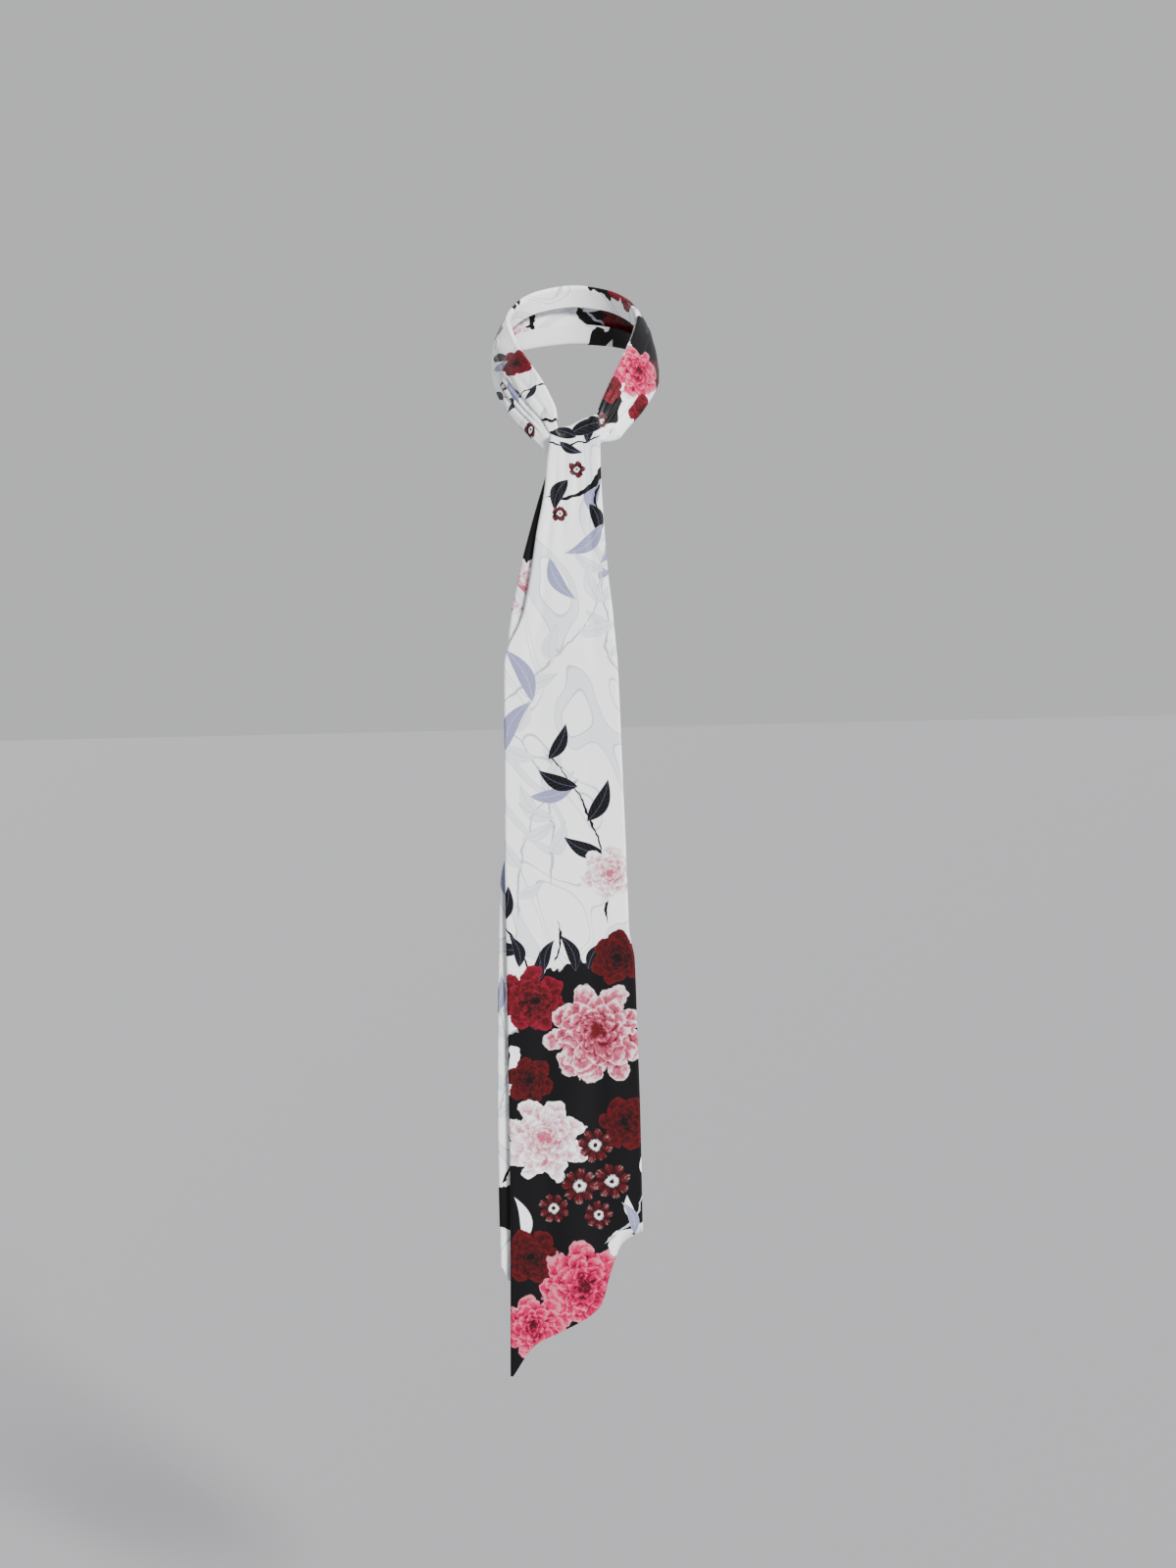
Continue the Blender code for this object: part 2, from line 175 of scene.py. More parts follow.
LOOP_MM = rows_of(
    BandRow,
    ((9.2, -96.4, -106.5), (9.2, -96.4, -117.5), 0, 3.5),
    ((21.5, -98, -105), (21.5, -98, -118), 0, 3.5),
    ((24.4, -104, -101.5), (24, -104, -118), 0, 3.5),
    ((22.5, -109.8, -99.5), (22.3, -109.8, -118), 0, 3.5),
    ((14, -111.5, -97), (13, -111.5, -117.5), 0.2, 5),
    ((1, -111.5, -93.5), (-3, -111.5, -115.5), 0.3, 8),
    ((-13, -111.3, -89), (-21, -111.8, -112), 0.5, 14),
    ((-18.5, -107, -76), (-30, -110, -105.5), 1, 18),
    ((-19.5, -98, -62), (-43, -98.5, -92), 2, 22),
    ((-25, -87, -48.5), (-58, -80, -76.5), 3, 25),
    ((-33, -75, -33), (-70.5, -58, -60), 4, 27),
    ((-43, -62, -18), (-79, -34, -43.5), 5, 28),
    ((-53.5, -46, -3), (-83, -9, -30.5), 6, 28),
    ((-62, -25, 14), (-84, 15, -19.5), 7, 28),
    ((-67, 2, 32.5), (-79, 39, -8), 6, 28),
    ((-60, 32, 49), (-65, 62, 1), 4, 28),
    ((-37, 58, 63.5), (-39, 78, 7), 3, 28),
    ((0, 70, 69.5), (0, 85, 10), 3, 28),
    ((37, 58, 63.5), (40, 78, 7), 3, 28),
    ((61, 32, 48.5), (67, 61, 0), 4, 28),
    ((68, 3, 34), (82, 38, -10), 5, 28),
    ((64.5, -21, 19), (87, 13, -23), 5, 28),
    ((57.5, -42, 2), (86.5, -12, -35), 4, 28),
    ((49, -60, -15), (80.5, -36, -49), 4, 27),
    ((39.5, -75, -33), (69, -59, -66), 3, 25),
    ((31.5, -87.5, -49), (54.5, -80, -82), 2, 22),
    ((24.8, -97, -64.5), (41.5, -95, -95), 1, 17),
    ((17, -103, -80.5), (25, -103.5, -98), 0.3, 9),
    ((5, -104.7, -89.5), (14.5, -104.7, -104.5), 0.2, 8),
    ((-8, -104.7, -96.5), (11.5, -104.7, -113), 0.2, 7),
    ((-19.3, -104.7, -102.2), (11.8, -104.7, -120.4), 0.2, 7),
)
LOOP_STEP = 0.05

# The stretches of the loop by place in its table, with a hair's gap where they meet
SEAM_SHARE = 0.003
BANDS = (
    Band("left", 0.0, 13.0 - SEAM_SHARE, 110, Cut((0.12, 0.225), "folded", 0.0149)),
    Band("back", 13.0, 21.0 - SEAM_SHARE, 100, Cut((0.112, 0.27), "folded", 0.0288)),
    Band("right", 21.0, 30.0, 90, Cut((0.113, 0.18), "folded", 0.0138)),
)

# Folds along the loop, by place in its table, and along the tails, by height. Each is a trough;
# a negative depth makes a ridge. Where cloth is hidden in a fold, it is a pleat with one steep
# side, and hidden says how much of the strip's width lies inside it.
LOOP_FOLDS = rows_of(
    Fold,
    (6.5, 13.5, 0.42, 0.70, 2.6, 0.6, 0.10, 7),
    (7.5, 12.8, 0.76, 0.88, 2.2, 0.8, 0.07, 6),
    (7, 13, 0.58, 0.80, 1.7, 0.6, 0.07, 5),
    (7, 11.5, 0.20, 0.34, 1.1, 0.3, 0.06, 0),
    (9.2, 14.5, 0.56, 0.42, 0.9, 0.6, 0.06, 0),
    (13, 21, 0.64, 0.56, 0.9, 0.9, 0.08, 0),
    (13.5, 19.5, 0.30, 0.36, 0.8, 0.6, 0.07, 0),
    (15, 20.5, 0.82, 0.76, 0.8, 0.6, 0.06, 0),
    (20.5, 27, 0.34, 0.30, 0.6, 2.4, 0.08, 5),
    (21.5, 27, 0.78, 0.66, 0.8, 2.2, 0.08, 5),
    (21, 27.2, 0.56, 0.48, 0.5, 1.6, 0.06, 0),
    (22, 26.8, 0.14, 0.16, 0.3, 1.2, 0.05, 0),
)
FRONT_FOLDS = rows_of(
    Fold,
    (-74, -260, 0.26, 0.44, 1.5, 0.4, 0.09, 0),
    (-78, -210, 0.60, 0.54, 1.3, 0.3, 0.07, 0),
    (-76, -340, 0.84, 0.80, 1.1, 0.7, 0.06, 0),
    (-88, -330, 0.12, 0.20, 1.2, 1, 0.06, 0),
    (-230, -560, 0.24, 0.36, 1.4, 0.3, 0.10, 0),
    (-330, -900, 0.74, 0.66, 0.5, 1, 0.10, 0),
    (-520, -960, 0.30, 0.24, 0.5, 1.2, 0.09, 0),
    (-640, -930, 0.50, 0.48, -0.5, -1, 0.12, 0),
)
BACK_FOLDS = rows_of(
    Fold,
    (-120, -330, 0.20, 0.16, 1, 0.5, 0.07, 0),
    (-130, -420, 0.52, 0.44, 1, 0.4, 0.08, 0),
    (-150, -700, 0.78, 0.72, 0.6, 0.5, 0.09, 0),
    (-420, -880, 0.38, 0.32, 0.4, 0.9, 0.10, 0),
)
STEEP_SIDE = 0.3
LOOP_RUN_IN = 1.2
TAIL_RUN_IN_MM = 45.0
FULL_FOLD_WIDTH_MM = 45.0
FOLD_SWELL, FOLD_SWELLS = 0.28, 2.3
FOLD_WANDER, FOLD_WANDERS = 0.008, 1.7
PLEAT_SHARE = 0.03
RIPPLE_MM = 0.35
RIPPLES_ACROSS, TAIL_RIPPLES, LOOP_RIPPLES = 4.0, 0.022, 1.3

# Steps along each stretch between its sections
ROLL_STEPS, FRONT_STEPS, BACK_STEPS = 12, 288, 230
WRAP_ROLL_STEPS, WRAP_DROP_STEPS = 12, 20

# The camera, which looks from the photograph's angle
CAMERA_PLACE = (0.005332, -2.917345, -0.184326)
CAMERA_TARGET = (0.005332, -0.128, -0.428362)
CAMERA_ROLL = math.radians(-1.25)
CAMERA_LENS_MM = 65.97

# The stage
KEY_LIGHT = Sun((1.9, -2.6, 1.9), 6.6, 14.0)
BACK_LIGHT = Sun((-1.6, 2.6, 2.0), 1.6, 25.0)
STUDIO_COLOR = (0.56, 0.565, 0.575, 1.0)
FLOOR_COLOR, FLOOR_ROUGHNESS, FLOOR_SIZE = (0.30, 0.30, 0.31, 1.0), 0.8, 30.0

# The satin's finish
SATIN_SPECULAR, SATIN_SHEEN, SATIN_SHEEN_ROUGHNESS = 0.22, 0.04, 0.4
WEAVE_STRENGTH, WEAVE_DEPTH, GLOSS_SWING = 0.25, 0.00006, 0.12
VEIN_LAVENDER = 0.25


def ease(share):
    """A soft step from 0 to 1."""
    share = min(1.0, max(0.0, share))
    return share * share * (3.0 - 2.0 * share)


def slope_at(places, values, k):
    """The slope of a smooth curve through a table's points, level where the table turns back."""
    if k == 0 or k == len(places) - 1:
        i = min(k, len(places) - 2)
        return (values[i + 1] - values[i]) / (places[i + 1] - places[i])
    before = (values[k] - values[k - 1]) / (places[k] - places[k - 1])
    after = (values[k + 1] - values[k]) / (places[k + 1] - places[k])
    if before * after <= 0.0:
        return 0.0
    return 2.0 * before * after / (before + after)


def smooth_value(places, values, at):
    """Reads a table of rising places smoothly, with no overshoot between its rows."""
    at = min(places[-1], max(places[0], at))
    k = 0
    while k < len(places) - 2 and at > places[k + 1]:
        k += 1
    gap = places[k + 1] - places[k]
    t = (at - places[k]) / gap
    rise = slope_at(places, values, k) * gap
    fall = slope_at(places, values, k + 1) * gap
    start_part = (2.0 * t**3 - 3.0 * t**2 + 1.0) * values[k] + (t**3 - 2.0 * t**2 + t) * rise
    end_part = (3.0 * t**2 - 2.0 * t**3) * values[k + 1] + (t**3 - t**2) * fall
    return start_part + end_part


def from_table(rows, column, at):
    """One column of a table at any place along its first column."""
    ordered = sorted(rows)
    places = [row[0] for row in ordered]
    return smooth_value(places, [getattr(row, column) for row in ordered], at)


def tucked_edge(tucked):
    """One edge seen end on, turned in and then folded flat behind, and where the face starts.

    Each point is the way across, the way out and the cloth's own distance from the face.
    """
    radius = FOLD_RADIUS_MM
    points = []
    for k in range(TUCKED_POINTS, 0, -1):
        run = tucked * (k / TUCKED_POINTS) ** TUCKED_CROWDING
        turn = min(math.pi, run / radius)
        flat = max(0.0, run - math.pi * radius)
        across = radius - radius * math.sin(turn) + flat
        points.append((across, radius * math.cos(turn) - radius, run))
    outermost = min(point[0] for point in points)
    return [(across - outermost, out, run) for across, out, run in points], radius - outermost


def section(width, first_tucked, last_tucked, lift):
    """The spots of one section over a strip with tucked edges.

    A spot's share is its place across the face, from 0 to 1, where lift gives the face's
    height, and its cloth is the distance along the cloth from the start of the face.
    """
    first, first_start = tucked_edge(first_tucked)
    last, last_start = tucked_edge(last_tucked)
    face_run = width - first_start - last_start
    spots = [Spot(0.0, across, out + lift(0.0), first_start - run) for across, out, run in first]
    for k in range(FACE_POINTS):
        share = k / (FACE_POINTS - 1)
        across = first_start + face_run * share
        spots.append(Spot(share, across, lift(share), across))
    for across, out, run in reversed(last):
        spots.append(Spot(1.0, width - across, out + lift(1.0), first_start + face_run + run))
    return spots


def section_shares():
    """The place across the face of each spot of a section, from 0 to 1."""
    level = section(STRIP_WIDTH_MM, EDGE_CURL_MM, EDGE_CURL_MM, lambda share: 0.0)
    return [spot.share for spot in level]


def dips_at(folds, at, run_in):
    """The folds that reach a place along a strip, as they are there."""
    dips = []
    for number, fold in enumerate(folds):
        run = fold.last - fold.first
        along = (at - fold.first) / run
        full = ease(min(along, 1.0 - along) * abs(run) / run_in)
        if full == 0.0:
            continue
        middle = fold.share_first + (fold.share_last - fold.share_first) * along
        middle += FOLD_WANDER * math.sin(math.tau * FOLD_WANDERS * along + 2.0 * number)
        depth = fold.depth_first + (fold.depth_last - fold.depth_first) * along
        depth *= 1.0 + FOLD_SWELL * math.sin(math.tau * FOLD_SWELLS * along + number)
        steep = STEEP_SIDE if fold.hidden else 1.0
        dips.append(Dip(middle, depth * full, fold.width, steep, fold.hidden * full))
    return dips


def pressed(dips, share):
    """How far the folds press the face in at one place across it."""
    total = 0.0
    for dip in dips:
        reach = dip.width if share > dip.middle else dip.width * dip.steep
        total += dip.depth * math.exp(-(((share - dip.middle) / reach) ** 2))
    return total


def hidden_cloth(dips, share):
    """How much cloth lies inside the pleats before one place across the face."""
    return sum(dip.hidden * ease((share - dip.middle) / PLEAT_SHARE + 0.5) for dip in dips)


def ripple(share, along, layer):
    """The face's fine unevenness at one place."""
    return RIPPLE_MM * noise.noise(Vector((share * RIPPLES_ACROSS, along, layer)))


def tail_section(rows, folds, height):
    """A tail's left edge and section at one height; cloth past its shown width is tucked in."""
    columns = ("left", "right", "middle")
    left, right, middle = [from_table(rows, column, height) for column in columns]
    half = STRIP_WIDTH_MM / 2.0
    most = MOST_TUCKED_SHARE * (right - left)
    free = ease((KNOT_FREE_FROM_MM - height) / KNOT_FREE_RUN_MM)
    spare = (half - (middle - left), half - (right - middle))
    tucked = [EDGE_CURL_MM + free * max(0.0, min(most, value) - EDGE_CURL_MM) for value in spare]
    dips = dips_at(folds, height, TAIL_RUN_IN_MM)

    def lift(share):
        inside = ease(min(share, 1.0 - share) / LEVEL_EDGE_SHARE)
        return inside * (ripple(share, height * TAIL_RIPPLES, len(folds)) - pressed(dips, share))

    return left, middle, section(right - left, tucked[0], tucked[1], lift)


def hem_roll(share, above_hem):
    """How far back a tail's corner rolls near its hem."""
    amount = ease((share - HEM_ROLL_FROM) / (HEM_ROLL_TO - HEM_ROLL_FROM))
    quarter = QUARTER_TURN * HEM_ROLL_RADIUS_MM
    if above_hem >= quarter:
        return 0.0
    angle = (quarter - above_hem) / HEM_ROLL_RADIUS_MM
    return amount * HEM_ROLL_RADIUS_MM * (1.0 - math.cos(angle))


def roll_start(share):
    """The turn at which the front tail begins, from the top of its roll, and the roll's top."""
    inward = ease((min(share, 1.0 - share) - ROLL_SHARE_FROM) / ROLL_SHARE_RUN)
    turn = ROLL_EDGE_TURN + (ROLL_BACK_TURN - ROLL_EDGE_TURN) * inward
    cut_off = ROLL_RADIUS_MM * (1.0 - math.cos(max(0.0, turn)))
    return turn, from_table(FRONT_TOP_MM, "height", share) + cut_off


class Sections:
    """Remembers each section it has made, because many points of a row share one."""

    def __init__(self, rows, folds):
        self.rows, self.folds, self.made = rows, folds, {}

    def at(self, height):
        """The left edge, the middle and the spots of the section at one height."""
        key = round(height, 2)
        if key not in self.made:
            self.made[key] = tail_section(self.rows, self.folds, key)
        return self.made[key]


def hanging_point(sections, column, height, roll_back):
    """One point of a tail that hangs straight down, with its place on the cloth map."""
    left, middle, spots = sections.at(height)
    spot = spots[column]
    y = from_table(sections.rows, "face_y", height) - spot.out + roll_back
    return Vector((left + spot.across, y, height)), (left + spot.cloth - middle, height)


def rolled_point(sections, column, turn, crest):
    """A point of the front tail's section on the roll over the knot, at a turn from its top."""
    height = crest - ROLL_RADIUS_MM * (1.0 - math.cos(turn))
    left, middle, spots = sections.at(height)
    spot = spots[column]
    y = ROLL_MIDDLE_Y_MM - (ROLL_RADIUS_MM + spot.out) * math.sin(turn)
    point = Vector((left + spot.across, y, height + spot.out * math.cos(turn)))
    along = crest - ROLL_RADIUS_MM + ROLL_RADIUS_MM * (QUARTER_TURN - turn)
    return point, (left + spot.cloth - middle, along)


def hanging_rows(sections, tops, hem, steps):
    """The rows of points of a tail, from the given tops of its columns to its hem."""
    rows = []
    shares = section_shares()
    hems = [from_table(hem, "height", share) for share in shares]
    for step in range(steps + 1):
        row = []
        for column, share in enumerate(shares):
            height = tops[column] + (hems[column] - tops[column]) * (step / steps)
            back = hem_roll(share, height - hems[column])
            row.append(hanging_point(sections, column, height, back))
        rows.append(row[::-1])
    return rows


def front_rows():
    """The rows of points of the front tail, from its hidden top to its hem."""
    sections = Sections(FRONT_ROWS_MM, FRONT_FOLDS)
    starts = [roll_start(share) for share in section_shares()]
    rows = []
    for step in range(ROLL_STEPS):
        row = []
        for column, (first_turn, crest) in enumerate(starts):
            turn = first_turn + (QUARTER_TURN - first_turn) * step / ROLL_STEPS
            row.append(rolled_point(sections, column, turn, crest))
        rows.append(row[::-1])
    tops = [crest - ROLL_RADIUS_MM for first_turn, crest in starts]
    return rows + hanging_rows(sections, tops, FRONT_HEM_MM, FRONT_STEPS)


def back_rows():
    """The rows of points of the back tail, from its top to its hem."""
    tops = [from_table(BACK_TOP_MM, "height", share) for share in section_shares()]
    return hanging_rows(Sections(BACK_ROWS_MM, BACK_FOLDS), tops, BACK_HEM_MM, BACK_STEPS)


def wrap_rows():
    """The rows of points of the strip behind the crossing, which ends in a slanting fold."""
    sections = Sections(FRONT_ROWS_MM, FRONT_FOLDS)
    start = ROLL_BACK_TURN - ROLL_SEAM_MM / ROLL_RADIUS_MM
    rows = []
    for column, share in enumerate(section_shares()):
        first_turn, crest = roll_start(share)
        if first_turn > ROLL_BACK_TURN:
            continue
        line = []
        for k in range(WRAP_ROLL_STEPS):
            turn = start - (start + QUARTER_TURN) * k / WRAP_ROLL_STEPS
            line.append(rolled_point(sections, column, turn, crest))
        straight, (across, along) = rolled_point(sections, column, -QUARTER_TURN, crest)
        bottom = WRAP_BOTTOM_MM + WRAP_FOLD_SLOPE * max(0.0, WRAP_RIGHT_MM - straight.x)
        for k in range(WRAP_DROP_STEPS + 1):
            drop = (straight.z - bottom) * k / WRAP_DROP_STEPS
            line.append((straight - Vector((0.0, 0.0, drop)), (across, along + drop)))
        rows.append(line[::-1])
    return rows


def loop_value(column, at):
    """One plain column of the loop's table at any place along it."""
    values = [getattr(row, column) for row in LOOP_MM]
    return smooth_value(range(len(values)), values, at)


def loop_edge(column, at):
    """A point on the strip's upper or lower edge."""
    corners = [getattr(row, column) for row in LOOP_MM]
    places = range(len(corners))
    return Vector([smooth_value(places, [corner[k] for corner in corners], at) for k in range(3)])


def loop_section(at):
    """The points of one section of the strip round the neck, and its middle."""
    upper = loop_edge("upper", at)
    lower = loop_edge("lower", at)
    before = loop_edge("upper", at - LOOP_STEP) + loop_edge("lower", at - LOOP_STEP)
    after = loop_edge("upper", at + LOOP_STEP) + loop_edge("lower", at + LOOP_STEP)
    width = (lower - upper).length
    down = (lower - upper) / width
    outward = (after - before).cross(down).normalized()
    tucked = min(loop_value("tucked", at), MOST_LOOP_TUCKED_SHARE * width)
    bulge = loop_value("bulge", at)
    dips = dips_at(LOOP_FOLDS, at, LOOP_RUN_IN)
    narrow = min(1.0, width / FULL_FOLD_WIDTH_MM)

    def lift(share):
        uneven = ripple(share, at * LOOP_RIPPLES, 0.0) - pressed(dips, share)
        return bulge * math.sin(math.pi * share) + narrow * uneven

    placed = []
    for spot in reversed(section(width, tucked, tucked, lift)):
        place = spot.cloth - 0.5 * width + hidden_cloth(dips, spot.share)
        placed.append((upper + down * spot.across + outward * spot.out, place))
    return placed, (upper + lower) / 2.0


def band_rows(first, last, steps, along):
    """The rows of points of one stretch of the loop; along is where it starts on the map."""
    rows = []
    middle_before = None
    for step in range(steps + 1):
        placed, middle = loop_section(first + (last - first) * step / steps)
        if middle_before is not None:
            along += (middle - middle_before).length
        middle_before = middle
        rows.append([(point, (cloth, along)) for point, cloth in placed])
    return rows


def sharpen_ends(mesh):
    """Marks a sheet's open edges sharp, for a stretch whose ends meet its neighbours."""
    uses = [0] * len(mesh.edges)
    for loop in mesh.loops:
        uses[loop.edge_index] += 1
    for edge, count in zip(mesh.edges, uses):
        edge.use_edge_sharp = count == 1


def cloth_from_rows(name, rows, materials, wall, borders=(), bevelled=True):
    """A sheet through rows of points, with its cloth map in metres and a thin wall.

    Where borders divide the strip, each zone between them has its own material. A stretch
    whose ends meet its neighbours has sharp edges in place of a bevel, so that no groove shows.
    """
    across = len(rows[0])
    points = [point * MM for row in rows for point, place in row]
    places = [Vector(place) * MM for row in rows for point, place in row]
    starts = [r * across + c for r in range(len(rows) - 1) for c in range(across - 1)]
    faces = [(k, k + 1, k + across + 1, k + across) for k in starts]
    mesh = bpy.data.meshes.new(name)
    mesh.from_pydata(points, [], faces)
    cloth_map = mesh.uv_layers.new(name="cloth_map")
    for loop in mesh.loops:
        cloth_map.data[loop.index].uv = places[loop.vertex_index]
    for material in materials:
        mesh.materials.append(material)
    for face in mesh.polygons:
        along = places[face.vertices[0]].y / MM
        face.material_index = sum(along < border for border in borders)
    mesh.shade_smooth()
    sheet = bpy.data.objects.new(name, mesh)
    bpy.context.scene.collection.objects.link(sheet)
    solid = sheet.modifiers.new("Wall", "SOLIDIFY")
    solid.thickness = wall
    solid.offset = -1.0
    solid.use_even_offset = False
    if not bevelled:
        sharpen_ends(mesh)
        return sheet
    edge = sheet.modifiers.new("Edge", "BEVEL")
    edge.width = EDGE_BEVEL_SHARE * wall
    edge.segments = 2
    edge.limit_method = "ANGLE"
    edge.angle_limit = EDGE_ANGLE
    return sheet


# Shader nodes

def put(tree, socket, value):
    """Links a node's output to an input, or sets the input to a plain number or colour."""
    if isinstance(value, Value):
        tree.links.new(value.socket, socket)
    else:
        socket.default_value = value


def add_node(tree, kind, inputs, **settings):
    """Adds a shader node with its settings and its inputs, and gives its outputs."""
    node = tree.nodes.new("ShaderNode" + kind)
    for name, setting in settings.items():
        setattr(node, name, setting)
    for key, value in inputs.items():
        put(tree, node.inputs[key], value)
    return [Value(tree, socket) for socket in node.outputs]


def calc(tree, operation, *values):
    """A Math node's result."""
    return add_node(tree, "Math", dict(enumerate(values)), operation=operation)[0]


class Value:
    """A node's output, with which sums of nodes can be written plainly."""

    def __init__(self, tree, socket):
        self.tree, self.socket = tree, socket

    def math(self, operation, *others):
        """A Math node's result, with this value first."""
        return calc(self.tree, operation, self, *others)

    def __add__(self, other):
        return self.math("ADD", other)

    def __sub__(self, other):
        return self.math("SUBTRACT", other)

    def __rsub__(self, other):
        return calc(self.tree, "SUBTRACT", other, self)

    def __mul__(self, other):
        return self.math("MULTIPLY", other)

    def __truediv__(self, other):
        return self.math("DIVIDE", other)

    def __pow__(self, power):
        return self.math("POWER", power)

    def __abs__(self):
        return self.math("ABSOLUTE")

    def times_plus(self, factor, more):
        """This value times a factor, plus something more."""
        return self.math("MULTIPLY_ADD", factor, more)

    def clamped(self):
        """This value kept from 0 to 1."""
        return add_node(self.tree, "Clamp", {0: self})[0]

    def ramp(self, factor, more=0.0):
        """This value times a factor, plus something more, kept from 0 to 1."""
        sloped = self.times_plus(factor, more) if more else self * factor
        return sloped.clamped()

    def covered(self, over, amount):
        """This colour covered by another one, as far as the amount says."""
        return add_node(self.tree, "Mix", {0: amount, 6: self, 7: over}, data_type="RGBA")[2]

    def split(self):
        """The x and y parts of this place."""
        return add_node(self.tree, "SeparateXYZ", {0: self})[:2]

    def noise(self, scale, detail, roughness=0.5):
        """A noise's value and colour at this place."""
        inputs = {"Vector": self, "Scale": scale, "Detail": detail, "Roughness": roughness}
        return add_node(self.tree, "TexNoise", inputs)


def joined(x, y, z):
    """A place from its three parts."""
    return add_node(x.tree, "CombineXYZ", {0: x, 1: y, 2: z})[0]


def from_middle(given, scale, amount):
    """How far a place lies from a motif's middle, nudged by a noise of a scale and amount."""
    x, y = given["Place"].split()
    nudge_x, nudge_y = given["Place"].noise(scale, detail=3.0)[1].split()
    dx, dy = x - given["Across"], y - given["Along"]
    return (nudge_x - 0.5).times_plus(amount, dx), (nudge_y - 0.5).times_plus(amount, dy)


def squares(dx, dy):
    """The sum of two squares."""
    return dx.times_plus(dx, dy * dy)


def in_flower(given, scale, amount):
    """Where a place lies in a flower: its ray, its reach in radii and its turn in petals."""
    dx, dy = from_middle(given, scale, amount)
    reach = squares(dx, dy).math("SQRT")
    turn = dy.math("ARCTAN2", dx) / math.tau + given["Turn"]
    return dx / reach, dy / reach, reach / given["Radius"], turn * given["Petals"]


def off_petal(phase, offset):
    """How far a place is from the middle of its petal, from 0 to 1."""
    return abs((phase + offset).math("FRACT").times_plus(2.0, -1.0))


def draw_bloom(given):
    """A full flower: rings of overlapping petals, each darker at its base."""
    rings, shrink, ring_turn = 6, 0.9, 0.37
    pointed, notch, edge = 2.4, -0.24, 30.0
    body_glow, tip_glow, side_shade, streak_glow = 0.62, 0.40, -0.30, 0.75
    rays, contrast, middle_from, light_from = 7.0, 3.0, 0.05, -1.05
    ray_x, ray_y, reach, phase = in_flower(given, 46.0, given["Radius"] * 0.62)
    for ring in range(rings):
        size = 1.0 - shrink * ring / rings
        scallop = off_petal(phase, ring_turn * ring + PHASE_START) ** pointed
        rim = scallop.times_plus(notch * size, size)
        inside = (rim - reach).ramp(edge)
        way = reach / rim
        tipped = (way**16.0).times_plus(tip_glow, (way**3.4) * body_glow)
        petal = scallop.times_plus(side_shade, tipped)
        if ring == 0:
            shade, mask = petal, inside
        else:
            shade = (petal - shade).times_plus(inside, shade)
    streak = joined(ray_x * rays, ray_y * rays, reach).noise(1.6, detail=3.0, roughness=0.65)[0]
    grain = given["Place"].noise(150.0, detail=4.0, roughness=0.62)[0]
    shade = grain - 0.5 + (streak - 0.5).times_plus(streak_glow, shade)
    petals = given["Deep"].covered(given["Middle"], shade.ramp(contrast, middle_from))
    petals = petals.covered(given["Light"], shade.ramp(contrast, light_from))
    return [given["Ground"].covered(petals, mask)]


def draw_blossom(given):
    """A small open flower with a ragged pale eye round a dark heart."""
    rays, rim_size, notch, pointed, ragged_rim = 9.0, 0.92, -0.26, 2.6, 0.16
    eye_size, ragged_eye, heart_size = 0.20, 0.34, 0.17
    rim_glow, streak_glow, grain_glow, side_shade = 0.75, 1.6, 1.1, -0.7
    darkest, brightest = 0.85, 0.22
    ray_x, ray_y, reach, phase = in_flower(given, 150.0, 0.005)
    off = off_petal(phase, PHASE_START)
    spread = joined(ray_x.times_plus(rays, given["Across"]), ray_y * rays, reach)
    streak = spread.noise(1.5, detail=3.0, roughness=0.65)[0]
    grain = given["Place"].noise(420.0, detail=3.0, roughness=0.62)[0]
    rim = streak.times_plus(ragged_rim, (off**pointed).times_plus(notch, rim_size))
    inside = (rim - reach).ramp(16.0)
    eye = (streak.times_plus(ragged_eye, eye_size) - reach).ramp(9.0)
    heart = (heart_size - reach).ramp(14.0)
    glow = reach.times_plus(rim_glow, streak.times_plus(streak_glow, -1.1))
    glow = (grain - 0.5).times_plus(grain_glow, glow)
    glow = (off**3.0).times_plus(side_shade, glow)
    dark = given["Petal"].covered(NIGHT, darkest)
    bright = given["Petal"].covered(given["Eye"], brightest)
    petal = dark.covered(given["Petal"], glow.ramp(2.4, 0.35))
    petal = petal.covered(bright, glow.ramp(2.2, -0.75))
    petal = petal.covered(bright.covered(given["Eye"], grain.ramp(2.2, -0.35)), eye)
    return [given["Ground"].covered(petal.covered(dark, heart), inside)]


def in_stem(given):
    """Where a place lies in a turned, bent motif.

    Gives how far along it the place is, in metres and as a share of its length, that share
    squared, and how far beside its middle line the place is.
    """
    x, y = given["Place"].split()
    dx, dy = x - given["Across"], y - given["Along"]
    cosine, sine = given["Turn"].math("COSINE"), given["Turn"].math("SINE")
    forward = dx.times_plus(cosine, dy * sine)
    sideways = dy * cosine - dx * sine
    way = forward / given["Length"]
    square = way * way
    return forward, way, square, sideways - given["Bend"] * given["Length"] * square


def draw_leaf(given):
    """A pointed, slightly bent leaf with a drawn rim, midrib and veins."""
    taper, vein_slant, vein_gap, vein_strength = -0.35, -1.4, 0.13, 0.7
    forward, way, square, beside = in_stem(given)
    off = abs(beside)
    half = (1.0 - square).clamped() * way.times_plus(taper, 1.0) * given["Width"]
    inside = (half - off).ramp(3000.0) * square.math("LESS_THAN", 1.0)
    rib = off.ramp(-2600.0, 1.2)
    rim = (half - off).ramp(-2200.0, 1.6)
    vein = off.times_plus(vein_slant, forward).math("PINGPONG", given["Length"] * vein_gap)
    veins = vein.ramp(-3600.0, 1.0) * vein_strength
    drawn = rib.math("MAXIMUM", rim).math("MAXIMUM", veins)
    leaf = given["Leaf"].covered(given["Rib"], drawn)
    return [given["Ground"].covered(leaf, inside)]


